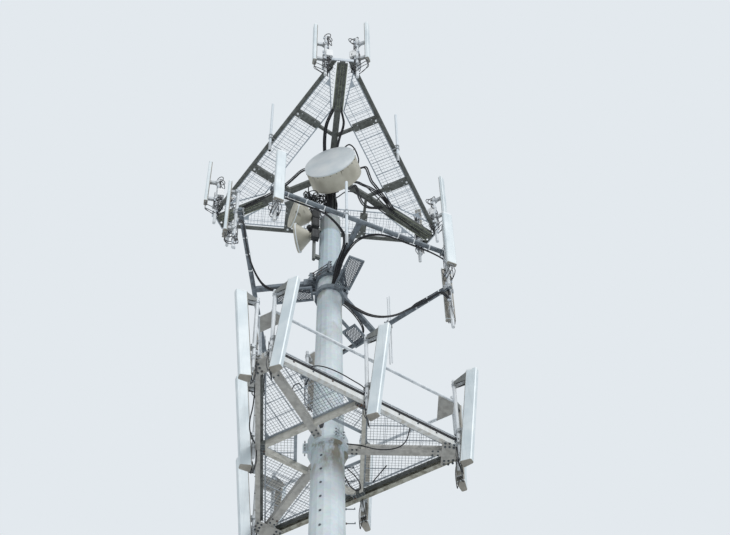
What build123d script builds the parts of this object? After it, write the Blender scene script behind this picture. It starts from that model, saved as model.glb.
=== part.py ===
from build123d import *
import os
from math import atan, cos, degrees, radians, sin, tan

# Cell tower: a tapered many-sided steel pole that carries two triangular
# platforms and a ring of three stand-off arms, with panel aerials and dishes.
# Millimetres, +Z up, ground level at z = 0, pole axis at x = y = 0.

os.makedirs("parts", exist_ok=True)

# Pole
pole_sides = 16
pole_base_width = 1046.0
pole_taper = 0.0183
pole_wall = 8.0
pole_top_z = 34400.0
slip_length = 1500.0
lower_top_z = 12600.0
middle_top_z = 23700.0

# Base flange
plate_thickness = 60.0
plate_margin = 230.0
anchor_count = 12
anchor_hole_radius = 32.0
anchor_edge = 95.0

# Levels of the three antenna rings
top_z = 36600.0
ring_z = 31970.0
deck_z = 26340.0

# Mast above the pole
mast_radius = 95.0
mast_rise = 60.0
cap_thickness = 40.0
socket_wall = 16.0
socket_height = 320.0

# Climbing pegs
peg_radius = 9.5
peg_sides = 6
peg_length = 175.0
peg_spacing = 380.0
peg_first_z = 3000.0
peg_azimuth = 0.0

# Top platform: triangle of round pipes
top_corner_azimuths = {"near": -85.2, "right": 34.8, "left": 154.8}
top_side_azimuths = {"right": -25.2, "far": 94.8, "left": 214.8}
top_corner_radius = 3220.0
top_corner_cut = 295.0
top_pipe_radius = 48.0
top_end_thickness = 20.0
top_end_margin = 20.0
top_arm_width = 140.0
top_arm_height = 90.0
top_plank_width = 240.0
top_plank_length = 1190.0
top_neck_length = 75.0
top_neck_width = 120.0
top_collar_wall = 75.0
top_collar_height = 220.0
strut_offset = 880.0
strut_width = 60.0
strut_plate_width = 170.0
strut_plate_length = 630.0
top_grate_width = 625.0
top_grate_edge = 12.0
top_grate_pipe_gap = 8.0
top_grate_end = 260.0

# Gratings
grate_depth = 20.0
grate_rim = 25.0
grate_bar = 8.0
grate_pitch = 330.0
grate_least = 0.15

# Stand-off arm ring
arm_azimuths = {"near": -67.4, "right": 52.6, "left": 172.6}
arm_reach = 1600.0
arm_box = 100.0
arm_face_half = 1980.0
arm_face_radius = 50.0
ring_collar_wall = 55.0
ring_collar_height = 260.0
step_drop = 600.0
step_collar_height = 120.0
step_starts = {"near": 330.0, "right": 840.0, "left": 330.0}
step_ends = {"near": 1100.0, "right": 1340.0, "left": 1100.0}
step_width = 340.0
step_rim = 40.0
step_offset = 140.0
step_depth = 40.0
step_spine = 60.0

# Middle platform: triangular steel deck
deck_corner_azimuths = {"right": 0.8, "far": 120.8, "near": 240.8}
deck_side_azimuths = {"front": -59.2, "back": 60.8, "left": 180.8}
deck_corner_radius = 2540.0
deck_corner_cut = 180.0
deck_beam_width = 90.0
deck_beam_height = 140.0
deck_web = 9.0
deck_flange = 11.0
deck_arm_width = 140.0
deck_collar_wall = 70.0
deck_collar_height = 320.0
collar_ear_length = 90.0
collar_ear_width = 50.0
collar_ear_height = 240.0
inner_beam_width = 70.0
inner_beam_share = 0.5
gusset_length = 90.0
gusset_width = 240.0
corner_plate_reach = 300.0
corner_plate_thickness = 12.0
deck_grate_edge = 120.0
deck_grate_lap = 25.0
deck_grate_tip = 60.0
deck_grate_tip_half = 35.0
mid_grate_tip = 115.0
mid_grate_root = 560.0
mid_grate_lap = 14.0
rail_height = 1340.0
rail_radius = 30.0
toe_height = 150.0
toe_radius = 16.0

# Aerial pipes and the clamps on them
pipe_sides = 12
pipe_radius = 36.5
clamp_width = 60.0
clamp_height = 90.0
clamp_wall = 18.0
clamp_reach = 900.0
profile_chamfer = 16.0

# Aerials of the top platform
top_facings = {("left", 1): 190.0, ("left", -1): 187.0, ("right", -1): -22.0, ("right", 1): -30.0}
top_facings.update({("far", -1): 75.0, ("far", 1): 112.0})
top_pipe_end = 520.0
top_pipe_shifts = {("left", 1): 80.0}
top_pipe_lifts = {("left", 1): 300.0, ("right", -1): 200.0}
top_pipe_low = -750.0
top_pipe_high = 1250.0
top_panel_low = 150.0
top_panel_length = 1900.0
top_panel_width = 150.0
top_panel_depth = 90.0
top_panel_gap = 170.0
top_clamp_low = 340.0
top_clamp_high = 1120.0
top_box_width = 160.0
top_box_depth = 110.0
top_box_length = 300.0
top_box_rise = 450.0

# Aerials of the stand-off ring
arm_facings = {("near", -1): -67.4, ("near", 1): -67.4, ("left", 1): 186.0, ("left", -1): 172.6}
arm_facings.update({("right", -1): 95.0, ("right", 1): 52.6})
arm_pipe_end = 90.0
arm_pipe_low = -1360.0
arm_pipe_high = 1000.0
arm_panel_low = -840.0
arm_panel_length = 1980.0
arm_panel_width = 210.0
arm_panel_depth = 80.0
arm_panel_gap = 110.0
arm_clamp_low = -640.0
arm_clamp_high = 820.0
spare_rod_across = -350.0
spare_rod_gap = 56.0
spare_rod_radius = 14.0
spare_rod_high = 1150.0

# Aerials of the middle platform: deep wedges that lean out at the top
deck_facings = {"front": -31.0, "back": 66.0, "left": 198.0}
deck_pipe_end = 230.0
deck_pipe_low = -300.0
deck_pipe_high = 1900.0
deck_panel_low = -620.0
deck_panel_length = 2600.0
deck_panel_front = 110.0
deck_panel_back = 160.0
deck_panel_depth = 220.0
deck_tilts = {"front": 6.6, "back": 5.5, "left": 4.5}
deck_panel_gap = 6.0
deck_clamp_low = 330.0
deck_clamp_high = 1780.0

# Whip aerials
whip_radius = 30.0
top_whip_low = -650.0
top_whip_high = 1650.0
ring_whip_low = -1220.0
ring_whip_high = 1280.0
ring_whip_across = -340.0

# Dishes
big_dish_radius = 590.0
big_dish_depth = 480.0
big_dish_back = 60.0
big_dish_azimuth = -110.0
big_dish_along = 770.0
big_dish_across = 250.0
big_dish_drop = 850.0
big_mount_across = 110.0
big_mount_size = 180.0
small_dish_radius = 330.0
small_dish_reaches = {"upper": 480.0, "lower": 365.0}
small_dish_depths = {"upper": 160.0, "lower": 30.0}
small_dish_rises = {"upper": 1650.0, "lower": 1000.0}
small_dish_facings = {"upper": 200.0, "lower": 168.0}
small_dish_hub = 60.0
cone_share = 0.3
dish_pipe_reach = 380.0
dish_pipe_azimuth = 205.0
dish_pipe_low = 32600.0
dish_pipe_high = 34500.0
stay_rises = (150.0, 1280.0)
stay_width = 70.0
stay_height = 90.0


def point(azimuth, along, across, z):
    """A point in the frame of a side or corner at this azimuth."""
    c = cos(radians(azimuth))
    s = sin(radians(azimuth))
    return Vector(along * c - across * s, along * s + across * c, z)


def bar(start, end, width, height):
    """A rectangular bar; width is level, height is upright on level bars."""
    along = end - start
    level = Vector(-along.Y, along.X, 0)
    plane = Plane(origin=start, x_dir=level.normalized(), z_dir=along.normalized())
    return extrude(plane * Rectangle(width, height), amount=along.length)


def pipe(start, end, radius, sides=pipe_sides):
    """A straight slender pipe or rod, modelled with flat sides."""
    along = end - start
    plane = Plane(origin=start, z_dir=along.normalized())
    return extrude(plane * RegularPolygon(radius, sides), amount=along.length)


def upright(foot, low, high, radius, sides=pipe_sides):
    """An upright pipe over a foot point."""
    return pipe(Vector(foot.X, foot.Y, low), Vector(foot.X, foot.Y, high), radius, sides)


def flat_plate(corners, z, thickness):
    """A level plate with these corners."""
    outline = make_face(Polyline(*[(c.X, c.Y) for c in corners], close=True))
    return extrude(Pos(0, 0, z) * outline, amount=thickness)


def largest(shape):
    """The largest solid of a cut shape."""
    return sorted(shape.solids(), key=lambda s: -s.volume)[0]


def pole_apothem(z):
    """Half the pole's width across flats at a height, lowest section."""
    return (pole_base_width - pole_taper * z) / 2


def section_apothem(z, section):
    """Outside half width of section 0, 1 or 2; each slips over the last."""
    return pole_apothem(z) + section * pole_wall


def pole_half(z):
    """Outside half width of the uppermost section at a height."""
    return section_apothem(z, 2)


def polygon(half):
    """The pole's many-sided outline with its flats at this half width."""
    return RegularPolygon(half, pole_sides, major_radius=False, rotation=180 / pole_sides)


def prism(z0, z1, half0, half1):
    """A many-sided prism that narrows evenly from half0 to half1."""
    angle = degrees(atan((half0 - half1) / (z1 - z0)))
    return extrude(Pos(0, 0, z0) * polygon(half0), amount=z1 - z0, taper=angle)


def pole_section(z0, z1, section):
    """One hollow tapered section of the pole."""
    outer0 = section_apothem(z0, section)
    outer1 = section_apothem(z1, section)
    outer = prism(z0, z1, outer0, outer1)
    inner = prism(z0, z1, outer0 - pole_wall, outer1 - pole_wall)
    return outer - inner


def pole_collar(z, height, wall):
    """A collar that fits the tapered pole closely, and its filled outline."""
    z0 = z - height / 2
    z1 = z + height / 2
    half = pole_half(z0) + wall
    filled = prism(z0, z1, half, half)
    return filled - prism(z0, z1, pole_half(z0), pole_half(z1)), filled


def base_flange():
    """The round base flange with its circle of anchor holes."""
    radius = pole_base_width / 2 + plate_margin
    circle = radius - anchor_edge
    outline = Circle(radius) - PolarLocations(circle, anchor_count) * Circle(anchor_hole_radius)
    return extrude(outline, amount=plate_thickness)


def pole_cap():
    """The cap plate with the socket that holds the mast."""
    half = pole_half(pole_top_z)
    plate = prism(pole_top_z, pole_top_z + cap_thickness, half, half)
    ring = Circle(mast_radius + socket_wall) - Circle(mast_radius)
    return plate + extrude(Pos(0, 0, pole_top_z + cap_thickness) * ring, amount=socket_height)


def pegs():
    """Climbing pegs up one side of the pole, from above ground to the deck."""
    made = []
    z = peg_first_z
    while z < deck_z - deck_collar_height:
        section = (z > lower_top_z - slip_length) + (z > middle_top_z - slip_length)
        face = section_apothem(z - peg_radius, section)
        start = point(peg_azimuth, face, 0, z)
        made.append(pipe(start, point(peg_azimuth, face + peg_length, 0, z), peg_radius, peg_sides))
        z += peg_spacing
    return made


def grating(corners, z, pitch_azimuth):
    """An open grating: a rim round the outline with bars across it."""
    outline = make_face(Polyline(*[(c.X, c.Y) for c in corners], close=True))
    inside = offset(outline, -grate_rim)
    box = outline.bounding_box()
    reach = max(box.size.X, box.size.Y)
    middle = outline.center()
    count = int(reach / grate_pitch / 2) + 2
    open_side = grate_pitch - grate_bar
    turned = Pos(middle.X, middle.Y) * Rot(0, 0, pitch_azimuth)
    cells = []
    for i in range(-count, count + 1):
        for j in range(-count, count + 1):
            place = turned * Pos(i * grate_pitch, j * grate_pitch)
            cell = inside & (place * Rectangle(open_side, open_side))
            if cell and sum(f.area for f in cell.faces()) > open_side * open_side * grate_least:
                cells.append(cell)
    return extrude(Pos(0, 0, z) * (outline - cells), amount=grate_depth)


def panel_profile(front, back, depth):
    """The cross-section of a panel aerial, its front towards -y."""
    half = depth / 2
    corners = [(-front / 2, -half), (front / 2, -half), (back / 2, half), (-back / 2, half)]
    return chamfer(make_face(Polyline(*corners, close=True)).vertices(), profile_chamfer)


nodes = {}


def keep(name, *solids):
    """Adds solids to a named node."""
    nodes.setdefault(name, []).extend(solids)


def antenna(group, label, foot, facing, size):
    """An upright pipe with its panel and the two clamps between them."""
    out = point(facing, 1, 0, 0)
    post = upright(foot, size["pipe_low"], size["pipe_high"], pipe_radius)
    lean = Vector(0, 0, cos(radians(size["tilt"]))) + out * sin(radians(size["tilt"]))
    gap = size["gap"] - (size["pipe_low"] - size["low"]) * tan(radians(size["tilt"]))
    centre = foot + out * (pipe_radius + gap + size["depth"] / 2)
    low = Vector(centre.X, centre.Y, size["low"])
    plane = Plane(origin=low, x_dir=point(facing + 90, 1, 0, 0), z_dir=lean)
    profile = panel_profile(size["front"], size["back"], size["depth"])
    body = extrude(plane * profile, amount=size["length"])
    grip = pipe_radius + clamp_wall
    for z in (size["clamp_low"], size["clamp_high"]):
        start = Vector(foot.X, foot.Y, z)
        arm = bar(start, start + out * clamp_reach, clamp_width, clamp_height) - body
        arm = arm.solids().sort_by(lambda s: (s.center() - start).length)[0]
        keep(group + "_clamps", arm + bar(start, start + out * grip, 2 * grip, clamp_height) - post)
    keep(group + "_antenna_pipes", post)
    keep(group + "_panels_" + label, body)


def drum(centre, facing, radius, depth, back, hub=0.0, hub_radius=0.0):
    """A dish aerial: a drum with a flat cover, a cone behind it and a hub."""
    plane = Plane(origin=centre, x_dir=point(facing + 90, 1, 0, 0), z_dir=point(facing, 1, 0, 0))
    rim = [(0, 0), (radius, 0), (radius, -depth)]
    rim.append((radius * cone_share, -depth - back))
    if hub:
        rim += [(hub_radius, -depth - back), (hub_radius, -depth - back - hub)]
    rim.append((0, -depth - back - hub))
    half = make_face(Plane.XZ * Polyline(*rim, close=True))
    return plane.location * revolve(half, Axis.Z)


# Pole
keep("base_flange", base_flange())
keep("pole_lower", pole_section(plate_thickness, lower_top_z, 0))
keep("pole_middle", pole_section(lower_top_z - slip_length, middle_top_z, 1))
keep("pole_upper", pole_section(middle_top_z - slip_length, pole_top_z, 2))
keep("pole_cap", pole_cap())
mast_foot = pole_top_z + cap_thickness
mast_head = top_z + top_collar_height / 2 + mast_rise
mast = extrude(Pos(0, 0, mast_foot) * Circle(mast_radius), amount=mast_head - mast_foot)
keep("top_mast", mast)
keep("climbing_pegs", *pegs())

# Top platform
top_apothem = top_corner_radius / 2
top_half = top_corner_radius * sin(radians(60))
top_cut_radius = top_corner_radius - top_corner_cut
top_low = top_z - top_collar_height / 2
top_high = top_z + top_collar_height / 2
top_collar_half = mast_radius + top_collar_wall
top_collar_body = prism(top_low, top_high, top_collar_half, top_collar_half)
keep("top_collar", top_collar_body - mast)


def top_arm(azimuth):
    """A radial arm: a narrow box, then a wide plank and its neck."""
    plank_end = top_cut_radius - top_neck_length
    plank_start = plank_end - top_plank_length
    stops = [(0, plank_start, top_arm_width), (plank_start, plank_end, top_plank_width)]
    stops.append((plank_end, top_cut_radius, top_neck_width))
    arm = []
    for start, end, width in stops:
        root = point(azimuth, start, 0, top_z)
        arm.append(bar(root, point(azimuth, end, 0, top_z), width, top_arm_height))
    return arm[0] + arm[1] + arm[2] - top_collar_body


def top_pipe(azimuth):
    """A face pipe of the top platform, mitred against the end plates."""
    start = point(azimuth, top_apothem, -top_half, top_z)
    made = pipe(start, point(azimuth, top_apothem, top_half, top_z), top_pipe_radius)
    for turn in (-60, 60):
        tip = point(azimuth + turn, top_cut_radius, 0, top_z)
        cut = Plane(origin=tip, z_dir=point(azimuth + turn, 1, 0, 0))
        made = split(made, bisect_by=cut, keep=Keep.BOTTOM)
    return made


def top_strut(azimuth, side, face_pipe):
    """A strut from an arm out to a face pipe, wide at its outer end."""
    t = side * strut_offset
    root = point(azimuth, strut_offset / tan(radians(60)), t, top_z)
    knee = point(azimuth, top_apothem - strut_plate_length, t, top_z)
    head = point(azimuth, top_apothem, t, top_z)
    strut = bar(root, knee, strut_width, top_arm_height)
    strut += bar(knee, head, strut_plate_width, top_arm_height)
    return largest(strut - face_pipe - top_arm(azimuth + side * 60))


for azimuth in top_corner_azimuths.values():
    keep("top_arms", top_arm(azimuth))
    end_middle = top_cut_radius + top_end_thickness / 2
    end_half = top_corner_cut * tan(radians(30)) + top_pipe_radius / cos(radians(30)) + top_end_margin
    end_low = point(azimuth, end_middle, -end_half, top_z)
    end_high = point(azimuth, end_middle, end_half, top_z)
    keep("top_corner_plates", bar(end_low, end_high, top_end_thickness, 2 * top_pipe_radius))
for name, azimuth in top_side_azimuths.items():
    face_pipe = top_pipe(azimuth)
    keep("top_face_pipes", face_pipe)
    keep("top_struts", top_strut(azimuth, -1, face_pipe), top_strut(azimuth, 1, face_pipe))
    arm_edge = (top_plank_width / 2 + top_grate_edge) / cos(radians(60))
    outer = top_apothem - top_pipe_radius - top_grate_pipe_gap
    inner = outer - top_grate_width
    inner_half = inner * tan(radians(60)) - arm_edge
    outer_half = outer * tan(radians(60)) - arm_edge - top_grate_end
    corners = [point(azimuth, inner, -inner_half, 0), point(azimuth, inner, inner_half, 0)]
    corners += [point(azimuth, outer, outer_half, 0), point(azimuth, outer, -outer_half, 0)]
    keep("top_grating_" + name, grating(corners, top_z + top_arm_height / 2, azimuth))

# Stand-off arm ring
arm_collar, arm_collar_body = pole_collar(ring_z, ring_collar_height, ring_collar_wall)
step_z = ring_z - step_drop
step_collar, step_collar_body = pole_collar(step_z, step_collar_height, ring_collar_wall)
keep("arm_collar", arm_collar)
keep("step_collar", step_collar)
for name, azimuth in arm_azimuths.items():
    low = point(azimuth, arm_reach, -arm_face_half, ring_z)
    face_pipe = pipe(low, point(azimuth, arm_reach, arm_face_half, ring_z), arm_face_radius)
    arm = bar(point(azimuth, 0, 0, ring_z), point(azimuth, arm_reach, 0, ring_z), arm_box, arm_box)
    keep("arm_face_pipes", face_pipe)
    keep("standoff_arms", largest(arm - arm_collar_body - face_pipe))
    start = point(azimuth, step_starts[name], step_offset, step_z)
    end = point(azimuth, step_ends[name], step_offset, step_z)
    inset = point(azimuth, step_rim, 0, 0)
    frame = bar(start, end, step_width, step_depth)
    frame -= bar(start + inset, end - inset, step_width - 2 * step_rim, step_depth)
    frame += bar(point(azimuth, 0, step_offset, step_z), start + inset, step_spine, step_depth)
    keep("step_frames", largest(frame - step_collar_body))

# Middle platform
deck_collar, deck_collar_body = pole_collar(deck_z, deck_collar_height, deck_collar_wall)
ear_reach = pole_half(deck_z - deck_collar_height / 2) + deck_collar_wall + collar_ear_length
for azimuth in deck_side_azimuths.values():
    tip = point(azimuth, ear_reach, 0, deck_z)
    ear = bar(point(azimuth, 0, 0, deck_z), tip, collar_ear_width, collar_ear_height)
    deck_collar += largest(ear - deck_collar_body)
keep("deck_collar", deck_collar)
deck_apothem = deck_corner_radius / 2
deck_half = deck_corner_radius * sin(radians(60))
deck_cut_radius = deck_corner_radius - deck_corner_cut
deck_top = deck_z + deck_beam_height / 2


def edge_beam(azimuth):
    """A channel with its web outwards, mitred and cut square at the corners."""
    start = point(azimuth, deck_apothem, -deck_half, deck_z)
    end = point(azimuth, deck_apothem, deck_half, deck_z)
    inwards = point(azimuth, -deck_web, 0, 0)
    open_height = deck_beam_height - 2 * deck_flange
    beam = bar(start, end, deck_beam_width, deck_beam_height)
    beam -= bar(start + inwards, end + inwards, deck_beam_width, open_height)
    for side in (-1, 1):
        corner = azimuth + side * 60
        mitre = Plane(origin=Vector(0, 0, deck_z), z_dir=point(corner + side * 90, 1, 0, 0))
        square = Plane(origin=point(corner, deck_cut_radius, 0, deck_z), z_dir=point(corner, 1, 0, 0))
        beam = split(beam, bisect_by=mitre, keep=Keep.BOTTOM)
        beam = split(beam, bisect_by=square, keep=Keep.BOTTOM)
    return beam


def corner_plate(azimuth, corner_radius, half, z):
    """A level plate that ties two sides together at a corner."""
    outer = deck_cut_radius
    inner = outer - corner_plate_reach
    wide = (corner_radius - inner) * tan(radians(30)) + half
    narrow = (corner_radius - outer) * tan(radians(30)) + half
    corners = [point(azimuth, inner, -wide, 0), point(azimuth, outer, -narrow, 0)]
    corners += [point(azimuth, outer, narrow, 0), point(azimuth, inner, wide, 0)]
    return flat_plate(corners, z, corner_plate_thickness)


edge_beams = {name: edge_beam(azimuth) for name, azimuth in deck_side_azimuths.items()}
for name, beam in edge_beams.items():
    keep("deck_edge_" + name, beam)
edges = edge_beams["front"] + edge_beams["back"] + edge_beams["left"]
arms = []
for azimuth in deck_corner_azimuths.values():
    end = point(azimuth, deck_cut_radius, 0, deck_z)
    arm = bar(point(azimuth, 0, 0, deck_z), end, deck_arm_width, deck_beam_height)
    arms.append(largest(arm - deck_collar_body - edges))
    plate_z = deck_z - deck_beam_height / 2 - corner_plate_thickness
    keep("deck_corner_plates", corner_plate(azimuth, deck_corner_radius, 0, plate_z))
keep("deck_arms", *arms)
gussets = []
for azimuth in deck_side_azimuths.values():
    face = deck_apothem - deck_beam_width / 2
    root = point(azimuth, face - gusset_length, 0, deck_z)
    gussets.append(bar(root, point(azimuth, face, 0, deck_z), gusset_width, deck_beam_height))
keep("deck_gussets", *gussets)
inner_apothem = deck_apothem * inner_beam_share
for name, azimuth in deck_corner_azimuths.items():
    half = inner_apothem * tan(radians(60))
    start = point(azimuth, inner_apothem, -half, deck_z)
    end = point(azimuth, inner_apothem, half, deck_z)
    beam = bar(start, end, inner_beam_width, deck_beam_height)
    for other in arms + gussets + [edges]:
        beam = beam - other
    keep("deck_inner_beams", *sorted(beam.solids(), key=lambda s: -s.volume)[:2])
    tip = deck_corner_radius - deck_grate_edge / sin(radians(30))
    root = inner_apothem + inner_beam_width / 2 - deck_grate_lap
    wide = (tip - root) * tan(radians(30))
    tip -= deck_grate_tip
    corners = [point(azimuth, tip, deck_grate_tip_half, 0), point(azimuth, tip, -deck_grate_tip_half, 0)]
    corners += [point(azimuth, root, -wide, 0), point(azimuth, root, wide, 0)]
    keep("deck_grating_" + name, grating(corners, deck_top, azimuth))
for azimuth in deck_side_azimuths.values():
    tip = deck_apothem - mid_grate_tip
    narrow = mid_grate_tip * tan(radians(30)) - mid_grate_lap
    wide = (deck_apothem - mid_grate_root) * tan(radians(30)) - mid_grate_lap
    corners = [point(azimuth, tip, -narrow, 0), point(azimuth, tip, narrow, 0)]
    corners += [point(azimuth, mid_grate_root, wide, 0), point(azimuth, mid_grate_root, -wide, 0)]
    keep("deck_grating_inner", grating(corners, deck_top, azimuth))

# Hand rails of the middle platform
pipe_along = deck_apothem + deck_beam_width / 2 + pipe_radius
rail_along = pipe_along - pipe_radius - rail_radius
rail_half = rail_along * tan(radians(60)) - (2 * rail_along - deck_cut_radius) / cos(radians(30))
rail_z = deck_z + rail_height
toe_z = deck_top + toe_height
toe_along = pipe_along - pipe_radius - toe_radius
for azimuth in deck_side_azimuths.values():
    start = point(azimuth, rail_along, -rail_half, rail_z)
    keep("deck_hand_rails", pipe(start, point(azimuth, rail_along, rail_half, rail_z), rail_radius))
    start = point(azimuth, toe_along, -rail_half, toe_z)
    keep("deck_toe_rails", pipe(start, point(azimuth, toe_along, rail_half, toe_z), toe_radius))
for azimuth in deck_corner_azimuths.values():
    plate_z = rail_z - rail_radius - corner_plate_thickness
    keep("rail_corner_plates", corner_plate(azimuth, 2 * rail_along, 0, plate_z))

# Aerials of the middle platform
deck_size = dict(
    front=deck_panel_front, back=deck_panel_back, depth=deck_panel_depth,
    gap=deck_panel_gap, length=deck_panel_length, low=deck_z + deck_panel_low,
    pipe_low=deck_z + deck_pipe_low, pipe_high=deck_z + deck_pipe_high,
    clamp_low=deck_z + deck_clamp_low, clamp_high=deck_z + deck_clamp_high,
)
for name, azimuth in deck_side_azimuths.items():
    deck_size["tilt"] = deck_tilts[name]
    for t in (deck_pipe_end - deck_half, 0, deck_half - deck_pipe_end):
        antenna("deck", name, point(azimuth, pipe_along, t, 0), deck_facings[name], deck_size)

# Aerials of the stand-off ring, with a pair of bare rods
ring_size = dict(
    front=arm_panel_width, back=arm_panel_width, depth=arm_panel_depth, tilt=0.0,
    gap=arm_panel_gap, length=arm_panel_length, low=ring_z + arm_panel_low,
    pipe_low=ring_z + arm_pipe_low, pipe_high=ring_z + arm_pipe_high,
    clamp_low=ring_z + arm_clamp_low, clamp_high=ring_z + arm_clamp_high,
)
arm_pipe_along = arm_reach + arm_face_radius + pipe_radius
for (name, side), facing in arm_facings.items():
    foot = point(arm_azimuths[name], arm_pipe_along, side * (arm_face_half - arm_pipe_end), 0)
    antenna("ring", name, foot, facing, ring_size)
spare_rod_along = arm_reach + arm_face_radius + spare_rod_radius
for side in (-0.5, 0.5):
    across = spare_rod_across + side * spare_rod_gap
    foot = point(arm_azimuths["right"], spare_rod_along, across, 0)
    rod = upright(foot, ring_z + arm_pipe_low, ring_z + spare_rod_high, spare_rod_radius)
    keep("ring_antenna_pipes", rod)

# Aerials of the top platform, each with a small case behind its pipe
top_size = dict(
    front=top_panel_width, back=top_panel_width, depth=top_panel_depth, tilt=0.0,
    gap=top_panel_gap, length=top_panel_length, low=top_z + top_panel_low,
    pipe_low=top_z + top_pipe_low, pipe_high=top_z + top_pipe_high,
    clamp_low=top_z + top_clamp_low, clamp_high=top_z + top_clamp_high,
)
top_pipe_along = top_apothem + top_pipe_radius + pipe_radius
for (name, side), facing in top_facings.items():
    shift = top_pipe_end + top_pipe_shifts.get((name, side), 0.0)
    lift = top_z + top_pipe_lifts.get((name, side), 0.0)
    foot = point(top_side_azimuths[name], top_pipe_along, side * (top_half - shift), 0)
    lifted = dict(top_size, pipe_low=lift + top_pipe_low, pipe_high=lift + top_pipe_high)
    antenna("top", name, foot, facing, lifted)
    middle = Vector(foot.X, foot.Y, top_z + top_box_rise + top_box_length / 2)
    back = middle - point(facing, pipe_radius + top_box_depth, 0, 0)
    case = bar(back, middle, top_box_width, top_box_length)
    keep("top_radio_boxes", case - upright(foot, top_z, mast_head + top_pipe_high, pipe_radius))

# Whip aerials
for name in ("left", "right"):
    foot = point(top_side_azimuths[name], top_apothem + top_pipe_radius + whip_radius, 0, 0)
    keep("whips", upright(foot, top_z + top_whip_low, top_z + top_whip_high, whip_radius))
foot = point(arm_azimuths["near"], arm_reach + arm_face_radius + whip_radius, ring_whip_across, 0)
keep("whips", upright(foot, ring_z + ring_whip_low, ring_z + ring_whip_high, whip_radius))

# Dishes
big_z = top_z - big_dish_drop
big_centre = point(big_dish_azimuth, big_dish_along, big_dish_across, big_z)
big_dish = drum(big_centre, big_dish_azimuth, big_dish_radius, big_dish_depth, big_dish_back)
mount_start = point(big_dish_azimuth, 0, big_mount_across, big_z)
mount_end = point(big_dish_azimuth, big_dish_along, big_mount_across, big_z)
mount = bar(mount_start, mount_end, big_mount_size, big_mount_size) - mast - big_dish
keep("big_dish", big_dish)
keep("big_dish_mount", mount.solids().sort_by(lambda s: (s.center() - mount_start).length)[0])
dish_foot = point(dish_pipe_azimuth, dish_pipe_reach, 0, 0)
dish_pipe = upright(dish_foot, dish_pipe_low, dish_pipe_high, pipe_radius)
keep("dish_pipe", dish_pipe)
pole_body = prism(middle_top_z, pole_top_z, pole_half(middle_top_z), pole_half(pole_top_z))
for rise in stay_rises:
    z = dish_pipe_low + rise
    end = point(dish_pipe_azimuth, dish_pipe_reach, 0, z)
    stay = bar(point(dish_pipe_azimuth, 0, 0, z), end, stay_width, stay_height)
    keep("dish_stays", largest(stay - pole_body - dish_pipe))
for name, facing in small_dish_facings.items():
    reach = small_dish_reaches[name]
    depth = small_dish_depths[name]
    back = reach - depth - small_dish_hub
    centre = Vector(dish_foot.X, dish_foot.Y, dish_pipe_low + small_dish_rises[name])
    centre += point(facing, pipe_radius + reach, 0, 0)
    hub = small_dish_hub + pipe_radius
    dish = drum(centre, facing, small_dish_radius, depth, back, hub, small_dish_hub)
    keep("small_dish_" + name, largest(dish - dish_pipe))

for name, solids in nodes.items():
    shape = solids[0] if len(solids) == 1 else Compound(children=[s.solid() for s in solids])
    export_step(shape, "parts/" + name + ".step")
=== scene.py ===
from math import cos, pi, radians, sin, tan

import bmesh
import bpy
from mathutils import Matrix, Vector


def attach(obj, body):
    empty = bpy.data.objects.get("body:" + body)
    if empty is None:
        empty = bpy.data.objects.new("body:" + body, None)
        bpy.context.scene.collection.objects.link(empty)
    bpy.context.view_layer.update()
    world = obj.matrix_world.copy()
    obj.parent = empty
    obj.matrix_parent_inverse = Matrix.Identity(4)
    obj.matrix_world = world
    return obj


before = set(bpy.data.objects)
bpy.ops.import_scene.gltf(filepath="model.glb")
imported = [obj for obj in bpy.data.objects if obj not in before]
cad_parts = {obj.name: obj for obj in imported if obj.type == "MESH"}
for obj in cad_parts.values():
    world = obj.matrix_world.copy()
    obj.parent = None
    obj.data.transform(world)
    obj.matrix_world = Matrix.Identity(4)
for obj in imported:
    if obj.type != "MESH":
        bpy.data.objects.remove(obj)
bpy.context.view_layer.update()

# Camera. A person's eye level on the ground, 19 m in front of the pole and looking
# steeply up, with the small turn and tilt that the photograph has.
photo_width = 730
focal_pixels = 1721.294
sensor_mm = 36.0
farthest = 300.0
eye = Vector((0, -19.406, 1.6))
pitch = 1.010502
yaw = 0.038514
roll = -0.022227
forward = Vector((sin(yaw) * cos(pitch), cos(yaw) * cos(pitch), sin(pitch)))
level = Vector((cos(yaw), -sin(yaw), 0))
upward = level.cross(forward)
rightward = cos(roll) * level + sin(roll) * upward
upward = -sin(roll) * level + cos(roll) * upward
camera_data = bpy.data.cameras.new("eye_level_camera")
camera_data.sensor_width = sensor_mm
camera_data.lens = focal_pixels / photo_width * sensor_mm
camera_data.clip_end = farthest
camera = bpy.data.objects.new("eye_level_camera", camera_data)
bpy.context.scene.collection.objects.link(camera)
for row in range(3):
    camera.matrix_world[row][0] = rightward[row]
    camera.matrix_world[row][1] = upward[row]
    camera.matrix_world[row][2] = -forward[row]
    camera.matrix_world[row][3] = eye[row]
bpy.context.scene.camera = camera

# Floor, sky and lamp. A pale level floor and an even pale sky, with one wide soft
# lamp from the front, a little to the right, as the photograph is lit.
floor_half = 120.0
floor_dull = "#d9dcde"
floor_light = "#e2e4e5"
background_colour = "#e3e9ee"
sky_strength = 0.66
lamp_strength = 1.75
lamp_azimuth = radians(-62.0)
lamp_height_angle = radians(40.0)
lamp_width_angle = radians(22.0)


def linear(code):
    """An sRGB hex colour as the linear values that Blender's sockets take."""
    values = []
    for i in (1, 3, 5):
        c = int(code[i:i + 2], 16) / 255
        values.append(c / 12.92 if c <= 0.04045 else ((c + 0.055) / 1.055) ** 2.4)
    return (*values, 1.0)


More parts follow.
